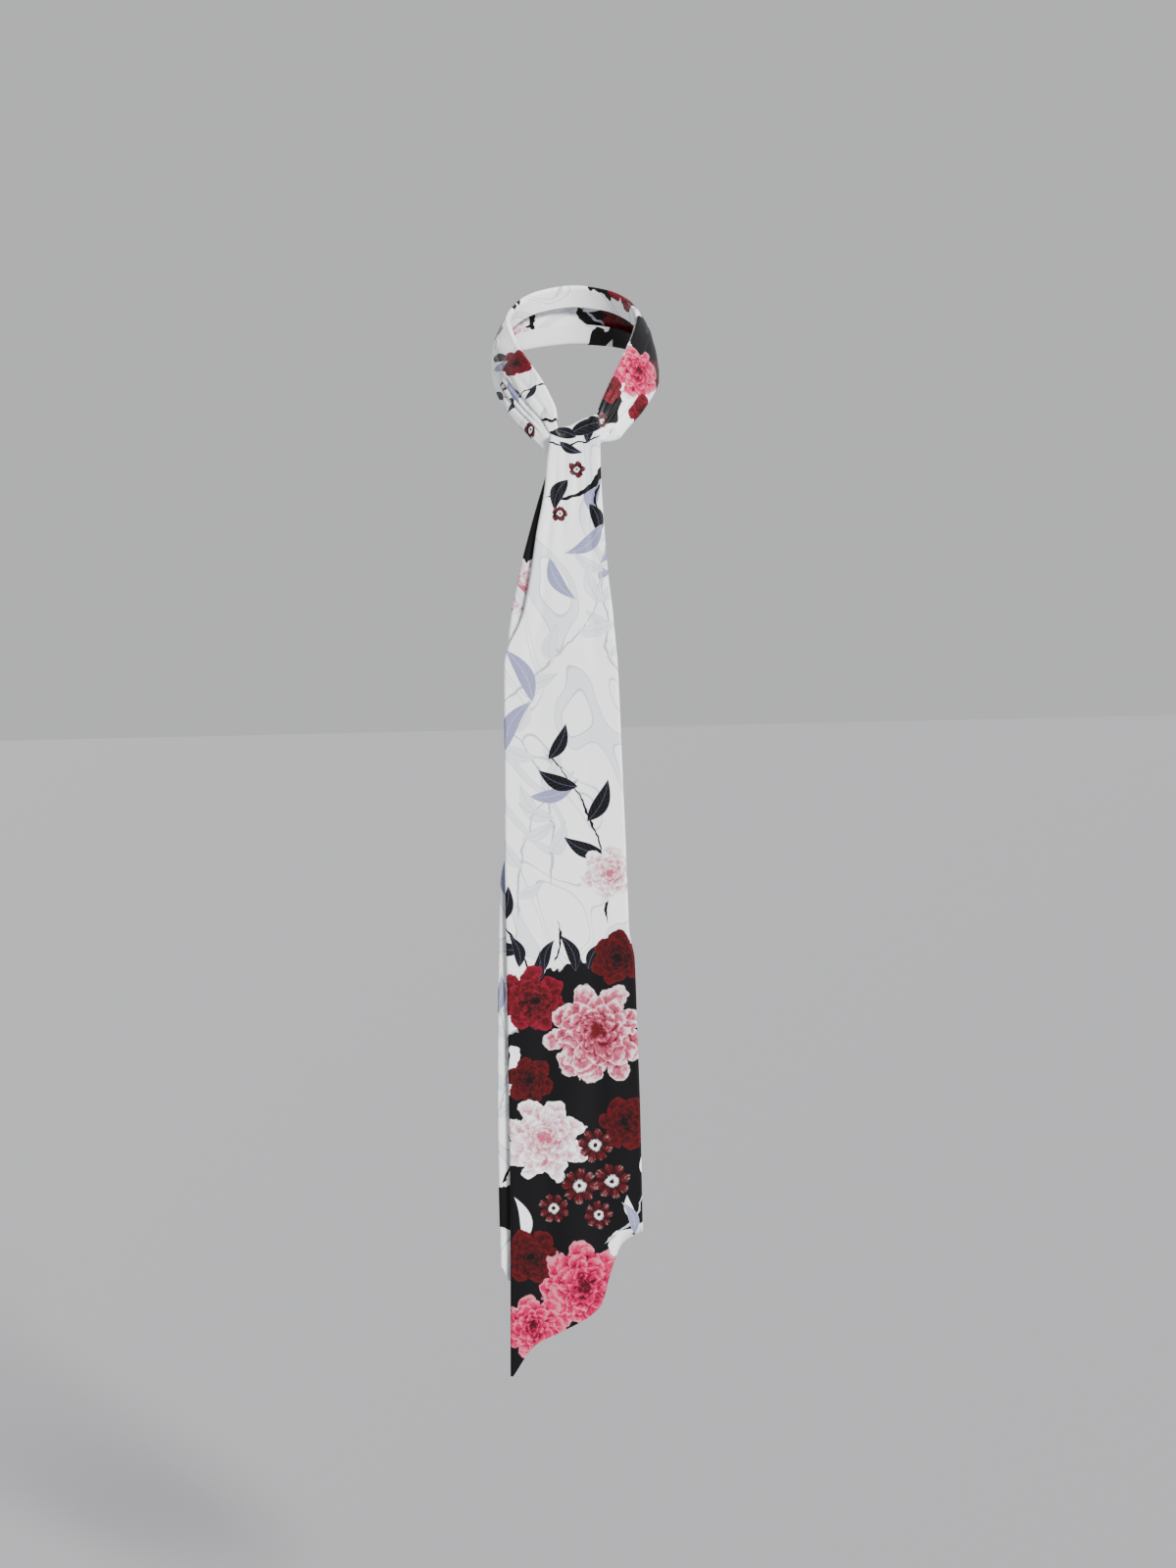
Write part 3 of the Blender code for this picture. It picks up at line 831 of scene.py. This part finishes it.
def draw_branch(given):
    """A bowed, tapering twig, which wanders a little."""
    taper, wander = -0.5, 0.012
    forward, way, square, beside = in_stem(given)
    nudge = given["Place"].noise(60.0, detail=2.0)[0].times_plus(wander, -0.5 * wander)
    ends = (1.0 - square).ramp(3.0)
    half = way.times_plus(taper, 1.0) * given["Width"] * ends
    inside = (half - abs(beside + nudge)).ramp(4000.0) * square.math("LESS_THAN", 1.0)
    return [given["Ground"].covered(given["Bark"], inside)]


def draw_patch(given):
    """A patch with a leafy, uneven edge, which may be much longer than it is wide."""
    dx, dy = from_middle(given, 28.0, 0.06)
    reach = squares(dx / given["Reach across"], dy / given["Reach along"])
    inside = (1.0 - reach).ramp(24.0)
    return [given["Ground"].covered(given["Patch"], inside)]


def draw_ribbon(given):
    """A thin drawing of flowing outlines, with a pale tone between the first two."""
    slant, stretch, levels = 0.35, 0.62, (0.40, 0.455, 0.60, 0.635)
    x, y = given["Place"].split()
    swept = joined(y.times_plus(slant, x), y * stretch, 0.0)
    value = swept.noise(given["Scale"], detail=0.6, roughness=0.4)[0]
    lines = None
    for level in levels:
        line = abs(value - level).ramp(-260.0, 1.1)
        lines = line if lines is None else lines.math("MAXIMUM", line)
    fill = (value - levels[0]).ramp(300.0) * (levels[1] - value).ramp(300.0)
    return [given["Ground"].covered(given["Fill"], fill).covered(given["Line"], lines)]


def draw_weave(given):
    """Satin's long floating threads, as a height and a small change in gloss."""
    slub_stretch, thread_height = 9.0, 0.25
    x, y = given["Place"].split()
    threads = (x * math.tau / given["Pitch"]).math("SINE")
    slub = joined(x * slub_stretch, y, 0.0).noise(220.0, detail=3.0, roughness=0.6)[0]
    return [threads.times_plus(thread_height, slub), slub]


# Each kind of group has what draws it, its inputs with their defaults, and its outputs
Kind = namedtuple("Kind", "draw inputs outputs")
PHASE_START = 10.0
NIGHT, PALE = (0.004, 0.002, 0.004, 1.0), (0.9, 0.85, 0.88, 1.0)
PLACE = {"Place": (0.0, 0.0, 0.0)}
GROUND = {**PLACE, "Ground": PALE}
MOTIF = {**GROUND, "Across": 0.0, "Along": 0.0}
FLOWER = {**MOTIF, "Radius": 0.02, "Turn": 0.0, "Petals": 6.0}
STEM = {**MOTIF, "Length": 0.03, "Width": 0.003, "Turn": 0.0, "Bend": 0.2}
PATCH = {**MOTIF, "Reach across": 0.04, "Reach along": 0.04}
SOCKETS = {1: "NodeSocketFloat", 3: "NodeSocketVector", 4: "NodeSocketColor"}
COLOR = {"Color": SOCKETS[4]}
KINDS = {
    "bloom": Kind(draw_bloom, {**FLOWER, "Deep": NIGHT, "Middle": NIGHT, "Light": PALE}, COLOR),
    "blossom": Kind(draw_blossom, {**FLOWER, "Petal": NIGHT, "Eye": PALE}, COLOR),
    "leaf": Kind(draw_leaf, {**STEM, "Leaf": NIGHT, "Rib": PALE}, COLOR),
    "branch": Kind(draw_branch, {**STEM, "Bark": NIGHT}, COLOR),
    "patch": Kind(draw_patch, {**PATCH, "Patch": NIGHT}, COLOR),
    "ribbon": Kind(draw_ribbon, {**GROUND, "Scale": 16.0, "Line": NIGHT, "Fill": PALE}, COLOR),
    "weave": Kind(draw_weave, {**PLACE, "Pitch": 0.00035}, {"Height": SOCKETS[1], "Gloss": SOCKETS[1]}),
}


def make_group(name):
    """Makes the shader node group of one kind."""
    kind = KINDS[name]
    group = bpy.data.node_groups.new(name, "ShaderNodeTree")
    for label, value in kind.inputs.items():
        parts = len(value) if isinstance(value, tuple) else 1
        socket = group.interface.new_socket(label, in_out="INPUT", socket_type=SOCKETS[parts])
        socket.default_value = value
    for label, socket_type in kind.outputs.items():
        group.interface.new_socket(label, in_out="OUTPUT", socket_type=socket_type)
    sockets = group.nodes.new("NodeGroupInput").outputs
    results = kind.draw({socket.name: Value(group, socket) for socket in sockets})
    for socket, value in zip(group.nodes.new("NodeGroupOutput").inputs, results):
        put(group, socket, value)
    return group


def add_group(tree, name, values):
    """Adds a group to a tree, with values for its inputs; it is made once and then shared."""
    group = bpy.data.node_groups.get(name) or make_group(name)
    return add_node(tree, "Group", values, node_tree=group)


# The print: motifs in millimetres on the cloth map, laid from the ground up
Bloom = namedtuple("Bloom", "across along radius turn petals tone")
Blossom = namedtuple("Blossom", "across along radius turn petals")
Leaf = namedtuple("Leaf", "across along length width turn bend tone")
Branch = namedtuple("Branch", "across along length width turn bend tone")
Patch = namedtuple("Patch", "across along reach_across reach_along tone")

# The places on the cloth map where a new material takes over the long tail's print
FRONT_BORDERS_MM = (-300.0, -570.0, -700.0, -850.0)

# How far a motif's noise and bend may carry it past its size
PATCH_NUDGE_MM, FLOWER_NUDGE_MM, STEM_NUDGE_MM = 32.0, 3.0, 10.0
FLOWER_REACH, STEM_REACH = 1.35, 1.1

# How a spray's leaves sit on its twig
LEAF_LEAN = 46.0
FIRST_LEAF, LEAF_SPREAD = -0.7, 1.5
LEAF_LENGTH, LEAF_SHORTENING, LEAF_WIDTH = 0.62, 0.12, 0.34
LEAF_BEND, LEAF_OFFSET = -0.2, 0.95
TWIG_WIDTH_MM, TWIG_THICKENING = 0.5, 0.02


def heading(turn):
    """The way that a turn in degrees on the cloth map points."""
    return Vector((math.cos(math.radians(turn)), math.sin(math.radians(turn))))


def spray(across, along, turn, leaves, size, tone, bend=0.25):
    """A twig of paired leaves, drawn from its foot; turn is in degrees on the cloth map."""
    reach = 0.5 * leaves * size
    forward = heading(turn)
    side = Vector((-forward.y, forward.x))
    twig = Vector((across, along)) + forward * reach
    twig_tone = "black" if tone == "black" else "line"
    width = TWIG_WIDTH_MM + TWIG_THICKENING * size
    motifs = [Branch(twig.x, twig.y, reach, width, turn, bend, twig_tone)]
    for k in range(leaves):
        way = FIRST_LEAF + LEAF_SPREAD * k / max(1, leaves - 1)
        sign = 1.0 if k % 2 else -1.0
        length = size * (LEAF_LENGTH - LEAF_SHORTENING * abs(way))
        base = twig + forward * (way * reach) + side * (bend * way * way * reach)
        lean = turn + sign * LEAF_LEAN
        middle = base + heading(lean) * length * LEAF_OFFSET
        leaf_bend = LEAF_BEND * sign
        motifs.append(Leaf(middle.x, middle.y, length, LEAF_WIDTH * length, lean, leaf_bend, tone))
    return motifs


FRONT_PRINT = (
    Leaf(15, -146, 19, 7.5, 70, -0.3, "lavender"),
    *spray(-26, -110, 20, 4, 24, "black", 0.3),
    Leaf(16, -80, 22, 8.5, 14, -0.2, "black"),
    Leaf(-15, -84, 19, 7.5, 166, 0.2, "black"),
    Branch(4, -146, 34, 2.2, 205, -0.4, "black"),
    Leaf(-19, -146, 17, 7, 245, 0.3, "black"),
    Leaf(20, -172, 17, 6.5, 280, -0.3, "black"),
    Branch(18, -152, 15, 1.4, 265, 0.2, "black"),
    Blossom(2, -123, 8.5, 0.1, 5),
    Blossom(-17, -166, 8, 0.3, 5),
    Leaf(8, -196, 24, 7, 215, -0.3, "lavender"),
    Leaf(26, -214, 18, 7, 75, 0.3, "lavender"),
    Leaf(-24, -232, 24, 7, 300, 0.3, "lavender"),
    *spray(34, -330, 100, 5, 30, "pale", -0.3),
    *spray(-44, -360, 60, 5, 34, "pale", 0.3),
    *spray(10, -520, 110, 6, 34, "pale", 0.3),
    *spray(-62, -560, 75, 5, 30, "pale", -0.2),
    Leaf(-42, -318, 30, 8, 120, 0.25, "lavender"),
    Leaf(-54, -366, 28, 8, 60, -0.3, "lavender"),
    Leaf(-10, -438, 26, 7, 20, 0.3, "lavender"),
    *spray(58, -560, 110, 5, 38, "black", 0.25),
    Bloom(40, -516, 29, 0.2, 6, "blush"),
    Patch(28, -650, 84, 48, "black"),
    Patch(0, -770, 100, 124, "black"),
    Patch(-20, -890, 80, 76, "black"),
    Patch(46, -908, 34, 30, "white"),
    Patch(-62, -708, 9, 26, "white"),
    *spray(-20, -640, 120, 4, 34, "black", 0.2),
    Leaf(-50, -590, 17, 6, 105, 0.3, "black"),
    Leaf(-24, -594, 16, 5.5, 70, -0.3, "black"),
    Leaf(2, -592, 20, 6.5, 112, 0.25, "black"),
    Leaf(22, -596, 15, 5.5, 60, -0.2, "black"),
    Branch(-8, -582, 22, 0.9, 84, 0.3, "black"),
    Bloom(46, -600, 27, 0.7, 6, "wine"),
    Bloom(-38, -640, 33, 0.4, 7, "crimson"),
    Bloom(24, -676, 50, 0.1, 9, "pink"),
    Bloom(-44, -720, 25, 0.3, 6, "wine"),
    Bloom(50, -764, 27, 0.6, 6, "wine"),
    Bloom(-30, -780, 42, 0, 8, "blush"),
    Blossom(20, -786, 17, 0.1, 8),
    Blossom(36, -822, 18, 0.4, 8),
    Blossom(4, -826, 18, 0.2, 8),
    Blossom(-22, -848, 15, 0.5, 8),
    Blossom(22, -856, 14, 0.3, 8),
    *spray(38, -892, 60, 4, 22, "white", 0.3),
    Leaf(56, -858, 18, 5, 110, 0.3, "lavender"),
    Leaf(-50, -858, 24, 6, 100, 0.3, "white"),
    Patch(-24, -996, 62, 44, "black"),
    Bloom(-46, -896, 28, 0.1, 6, "wine"),
    Bloom(6, -928, 46, 0.3, 8, "rose"),
    Bloom(-44, -968, 33, 0.5, 7, "rose"),
)
BACK_PRINT = (
    Patch(-20, -150, 80, 130, "black"),
    Bloom(-40, -236, 30, 0.2, 7, "blush"),
    *spray(-58, -430, 78, 6, 32, "pale", 0.2),
    Leaf(-56, -520, 30, 7, 100, -0.3, "lavender"),
    Leaf(-60, -640, 26, 6, 70, 0.3, "lavender"),
    *spray(-60, -780, 85, 5, 28, "pale", 0.2),
    Branch(-50, -800, 26, 1.4, 80, 0.3, "black"),
    Patch(20, -500, 60, 130, "black"),
    Bloom(10, -430, 44, 0.4, 8, "pink"),
    Bloom(30, -560, 30, 0.1, 7, "crimson"),
    Bloom(-6, -680, 42, 0.3, 8, "rose"),
    Patch(-50, -850, 40, 24, "black"),
    Leaf(-52, -900, 20, 5, 80, 0.3, "pale"),
)
LOOP_PRINT = (
    Leaf(-6, 60, 18, 5.5, 60, 0.3, "lavender"),
    *spray(-30, 128, 20, 5, 20, "black", 0.3),
    Branch(0, 100, 36, 1.5, 60, 0.35, "black"),
    Leaf(14, 156, 22, 7, 110, 0.3, "lavender"),
    Leaf(-4, 206, 18, 6, 230, 0.2, "black"),
    Bloom(-16, 184, 20, 0.2, 6, "crimson"),
    Leaf(10, 196, 20, 6, 20, 0.2, "lavender"),
    Blossom(24, 168, 8, 0.2, 5),
    Blossom(30, 104, 8, 0.2, 5),
    Patch(0, 285, 34, 40, "black"),
    Patch(10, 415, 50, 50, "black"),
    *spray(-30, 325, 60, 5, 30, "pale", 0.3),
    Leaf(-20, 335, 24, 6, 100, 0.3, "lavender"),
    Bloom(10, 285, 32, 0.3, 7, "blush"),
    Bloom(-6, 425, 36, 0.1, 8, "crimson"),
    Patch(14, 500, 56, 42, "black"),
    Patch(-10, 613, 30, 26, "black"),
    Leaf(-16, 470, 17, 6, 70, 0.3, "black"),
    Leaf(12, 462, 19, 6.5, 100, -0.3, "black"),
    Bloom(30, 517, 22, 0.1, 6, "wine"),
    Bloom(-2, 549, 36, 0.2, 8, "rose"),
    Bloom(32, 579, 20, 0.4, 6, "crimson"),
    Bloom(-24, 593, 20, 0.1, 6, "crimson"),
    Leaf(16, 607, 20, 8, 60, 0.2, "white"),
    Leaf(6, 633, 18, 6, 120, 0.2, "white"),
    Blossom(-6, 629, 9, 0.3, 5),
)
WRAP_PRINT = (Leaf(0, -60, 20, 6, 80, 0.2, "lavender"),)


def mixed(first, second, share):
    """A colour between two others; share is how much of the second it has."""
    return tuple((1.0 - share) * a + share * b for a, b in zip(first, second))


def bloom_tones(colors):
    """The deep, middle and light colour of each kind of bloom."""
    crimson, rose, pink = colors.crimson, colors.rose, colors.pink
    wine = tuple(0.5 * value for value in crimson)
    return {
        "pink": (crimson, pink, mixed(pink, colors.white, 0.58)),
        "blush": (pink, mixed(pink, colors.white, 0.5), colors.white),
        "crimson": (colors.black, crimson, mixed(crimson, rose, 0.22)),
        "wine": (colors.black, wine, crimson),
        "rose": (mixed(crimson, colors.black, 0.55), rose, mixed(rose, colors.white, 0.18)),
    }


def motif_values(motif, colors):
    """What the group that draws a motif is given, apart from its place and ground."""
    kind = type(motif)
    values = {"Across": motif.across * MM, "Along": motif.along * MM}
    if kind in (Bloom, Blossom):
        values |= {"Radius": motif.radius * MM, "Turn": motif.turn, "Petals": motif.petals}
    elif kind in (Leaf, Branch):
        values |= {"Length": motif.length * MM, "Width": motif.width * MM}
        values |= {"Turn": math.radians(motif.turn), "Bend": motif.bend}
    else:
        values |= {"Reach across": motif.reach_across * MM, "Reach along": motif.reach_along * MM}
    if kind is Blossom:
        paints = {"Petal": colors.crimson, "Eye": colors.white}
    elif kind is Bloom:
        paints = dict(zip(("Deep", "Middle", "Light"), bloom_tones(colors)[motif.tone]))
    else:
        paint = getattr(colors, motif.tone)
        veined = motif.tone in ("black", "white")
        rib = mixed(paint, colors.lavender, VEIN_LAVENDER) if veined else colors.line
        leaf = {"Leaf": paint, "Rib": rib}
        paints = {Leaf: leaf, Branch: {"Bark": paint}, Patch: {"Patch": paint}}[kind]
    return values | {label: (*paint[:3], 1.0) for label, paint in paints.items()}


def printed_satin(name, motifs, settings):
    """Doubled satin with its print drawn on the piece's cloth map."""
    colors = settings.colors
    material = bpy.data.materials.new(name)
    material.use_nodes = True
    tree = material.node_tree
    shader = tree.nodes["Principled BSDF"]
    place = add_node(tree, "UVMap", {}, uv_map="cloth_map")[0]
    paints = {"Ground": colors.white, "Line": colors.line, "Fill": colors.pale}
    values = {label: (*paint[:3], 1.0) for label, paint in paints.items()}
    color = add_group(tree, "ribbon", {"Place": place, **values})[0]
    for motif in motifs:
        values = {"Place": place, "Ground": color, **motif_values(motif, colors)}
        color = add_group(tree, type(motif).__name__.lower(), values)[0]
    height, gloss = add_group(tree, "weave", {"Place": place})
    least_rough = settings.sizes.roughness - 0.5 * GLOSS_SWING
    bump = {"Strength": WEAVE_STRENGTH, "Distance": WEAVE_DEPTH, "Height": height}
    put(tree, shader.inputs["Base Color"], color)
    put(tree, shader.inputs["Roughness"], gloss.times_plus(GLOSS_SWING, least_rough))
    put(tree, shader.inputs["Normal"], add_node(tree, "Bump", bump)[0])
    shader.inputs["Specular IOR Level"].default_value = SATIN_SPECULAR
    shader.inputs["Sheen Weight"].default_value = SATIN_SHEEN
    shader.inputs["Sheen Roughness"].default_value = SATIN_SHEEN_ROUGHNESS
    return material


def reach_of(motif):
    """How far along the strip a motif may reach from its middle, in millimetres."""
    if isinstance(motif, Patch):
        return motif.reach_along + PATCH_NUDGE_MM
    if isinstance(motif, (Bloom, Blossom)):
        return FLOWER_REACH * motif.radius + FLOWER_NUDGE_MM
    return STEM_REACH * motif.length + STEM_NUDGE_MM


def motifs_between(motifs, low, high):
    """The motifs that reach into a stretch of the strip."""
    return [item for item in motifs if low - reach_of(item) < item.along < high + reach_of(item)]


def print_zones(name, motifs, borders, settings):
    """A material for each zone of a strip, with the motifs that reach into it."""
    ends = (math.inf, *borders, -math.inf)
    materials = []
    for upper, lower in zip(ends, ends[1:]):
        label = "%s satin %d" % (name, len(materials) + 1)
        materials.append(printed_satin(label, motifs_between(motifs, lower, upper), settings))
    return materials


def wear(node, rows, satins, cut, settings, **finish):
    """Builds a stretch of cloth and sets it in the place of its solid."""
    piece = cloth_from_rows(node + "_cloth", rows, satins, settings.sizes.wall, **finish)
    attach(piece, "root")
    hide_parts(node)
    node + "_satin"


def color_property(name, description, default):
    """A colour that a user may change."""
    return FloatVectorProperty(
        name=name, description=description, subtype="COLOR", size=3, min=0.0, max=1.0, default=default
    )


class StoleSizes(bpy.types.PropertyGroup):
    """Sizes of the cloth"""

    wall: FloatProperty(
        name="Cloth thickness",
        description="Thickness of the two layers of satin together",
        default=0.001,
        unit="LENGTH",
    )
    floor_height: FloatProperty(
        name="Floor height",
        description="Height of the floor under the hanging stole",
        default=-1.4,
        unit="LENGTH",
    )
    roughness: FloatProperty(
        name="Satin roughness",
        description="How softly the satin reflects",
        default=0.44,
        subtype="FACTOR",
    )


class StoleColors(bpy.types.PropertyGroup):
    """Colours of the print"""

    white: color_property("White", "The ground of the print", (0.92, 0.925, 0.94))
    black: color_property("Black", "Dark patches and leaves", (0.0016, 0.0014, 0.0021))
    line: color_property("Line", "Thin outlines on the ground", (0.44, 0.46, 0.51))
    pale: color_property("Pale fill", "Pale filled shapes", (0.74, 0.76, 0.79))
    lavender: color_property("Lavender", "Leaves on the ground", (0.225, 0.235, 0.385))
    pink: color_property("Pink", "Full blooms", (0.42, 0.070, 0.125))
    rose: color_property("Rose", "Bright blooms", (0.50, 0.004, 0.075))
    crimson: color_property("Crimson", "Dark red flowers", (0.088, 0.003, 0.005))


class StoleSettings(bpy.types.PropertyGroup):
    """All settings of the stole"""

    sizes: PointerProperty(type=StoleSizes)
    colors: PointerProperty(type=StoleColors)


def add_sun(name, sun):
    """A soft light from far away, which shines from its place towards the origin."""
    light = bpy.data.lights.new(name, "SUN")
    light.energy = sun.strength
    light.angle = math.radians(sun.softness)
    lamp = bpy.data.objects.new(name, light)
    lamp.location = sun.place
    lamp.rotation_euler = (-Vector(sun.place)).to_track_quat("-Z", "Y").to_euler()
    bpy.context.scene.collection.objects.link(lamp)


class STOLE_OT_stage(bpy.types.Operator):
    """Sets the camera, the lights and the floor"""

    bl_idname = "stole.stage"
    bl_label = "Stage"

    def execute(self, context):
        camera = bpy.data.cameras.new("Camera")
        camera.lens = CAMERA_LENS_MM
        viewer = bpy.data.objects.new("Camera", camera)
        aim = (Vector(CAMERA_TARGET) - Vector(CAMERA_PLACE)).to_track_quat("-Z", "Y").to_matrix()
        turned = aim.to_4x4() @ Matrix.Rotation(CAMERA_ROLL, 4, "Z")
        viewer.matrix_world = Matrix.Translation(CAMERA_PLACE) @ turned
        context.scene.collection.objects.link(viewer)
        context.scene.camera = viewer
        add_sun("Key light", KEY_LIGHT)
        add_sun("Back light", BACK_LIGHT)
        world = bpy.data.worlds.new("Studio")
        world.use_nodes = True
        world.node_tree.nodes["Background"].inputs["Color"].default_value = STUDIO_COLOR
        context.scene.world = world
        bpy.ops.object.select_all(action="DESELECT")
        height = context.scene.stole.sizes.floor_height
        bpy.ops.mesh.primitive_plane_add(size=FLOOR_SIZE, location=(0.0, 0.0, height))
        floor = context.object
        floor.name = "floor"
        bpy.ops.object.transform_apply(location=True, rotation=True, scale=True)
        paint = bpy.data.materials.new("Pale floor")
        paint.use_nodes = True
        shader = paint.node_tree.nodes["Principled BSDF"]
        shader.inputs["Base Color"].default_value = FLOOR_COLOR
        shader.inputs["Roughness"].default_value = FLOOR_ROUGHNESS
        floor.data.materials.append(paint)
        return {"FINISHED"}


class STOLE_OT_front_tail(bpy.types.Operator):
    """Builds the front tail, which rolls over the knot and hangs in front"""

    bl_idname = "stole.front_tail"
    bl_label = "Front tail"

    def execute(self, context):
        settings = context.scene.stole
        satins = print_zones("Front tail", FRONT_PRINT, FRONT_BORDERS_MM, settings)
        cut = Cut((0.13, 0.96), "hung", 0.118)
        wear("front_tail", front_rows(), satins, cut, settings, borders=FRONT_BORDERS_MM)
        return {"FINISHED"}


class STOLE_OT_back_tail(bpy.types.Operator):
    """Builds the back tail, which hangs behind the front one"""

    bl_idname = "stole.back_tail"
    bl_label = "Back tail"

    def execute(self, context):
        settings = context.scene.stole
        satin = printed_satin("Back tail satin", BACK_PRINT, settings)
        wear("back_tail", back_rows(), [satin], Cut((0.13, 0.82), "hung", 0.099), settings)
        return {"FINISHED"}


class STOLE_OT_knot_wrap(bpy.types.Operator):
    """Builds the strip that comes up behind the crossing"""

    bl_idname = "stole.knot_wrap"
    bl_label = "Knot wrap"

    def execute(self, context):
        settings = context.scene.stole
        satin = printed_satin("Knot wrap satin", WRAP_PRINT, settings)
        cut = Cut((0.017, 0.049), "gathered", 0.00056)
        wear("knot_wrap", wrap_rows(), [satin], cut, settings)
        return {"FINISHED"}


class STOLE_OT_neck_bands(bpy.types.Operator):
    """Builds the three stretches of the strip round the neck"""

    bl_idname = "stole.neck_bands"
    bl_label = "Neck bands"

    def execute(self, context):
        settings = context.scene.stole
        along = 0.0
        for band in BANDS:
            rows = band_rows(band.first, band.last, band.steps, along)
            point, (cloth, end) = rows[-1][0]
            motifs = motifs_between(LOOP_PRINT, along, end)
            along = end
            satin = printed_satin("Neck %s satin" % band.side, motifs, settings)
            wear("neck_" + band.side, rows, [satin], band.cut, settings, bevelled=False)
        return {"FINISHED"}


class STOLE_PT_panel(bpy.types.Panel):
    """The stole's pieces and settings"""

    bl_idname = "STOLE_PT_panel"
    bl_label = "Satin stole"
    bl_space_type = "VIEW_3D"
    bl_region_type = "UI"
    bl_category = "Stole"

    def draw(self, context):
        settings = context.scene.stole
        for group in (settings.sizes, settings.colors):
            box = self.layout.box()
            for name in type(group).__annotations__:
                box.prop(group, name)
        for operator in OPERATORS:
            self.layout.operator(operator.bl_idname)


OPERATORS = (
    STOLE_OT_stage,
    STOLE_OT_front_tail,
    STOLE_OT_back_tail,
    STOLE_OT_knot_wrap,
    STOLE_OT_neck_bands,
)
CLASSES = (StoleSizes, StoleColors, StoleSettings, *OPERATORS, STOLE_PT_panel)


def register():
    """Adds the classes and the scene's settings."""
    for item in CLASSES:
        bpy.utils.register_class(item)
    bpy.types.Scene.stole = PointerProperty(type=StoleSettings)


def unregister():
    """Removes the settings and the classes."""
    del bpy.types.Scene.stole
    for item in reversed(CLASSES):
        bpy.utils.unregister_class(item)


def main():
    """Builds the scene."""
    register()
    bpy.ops.stole.stage()
    bpy.ops.stole.front_tail()
    bpy.ops.stole.back_tail()
    bpy.ops.stole.knot_wrap()
    bpy.ops.stole.neck_bands()


if __name__ == "__main__":
    main()
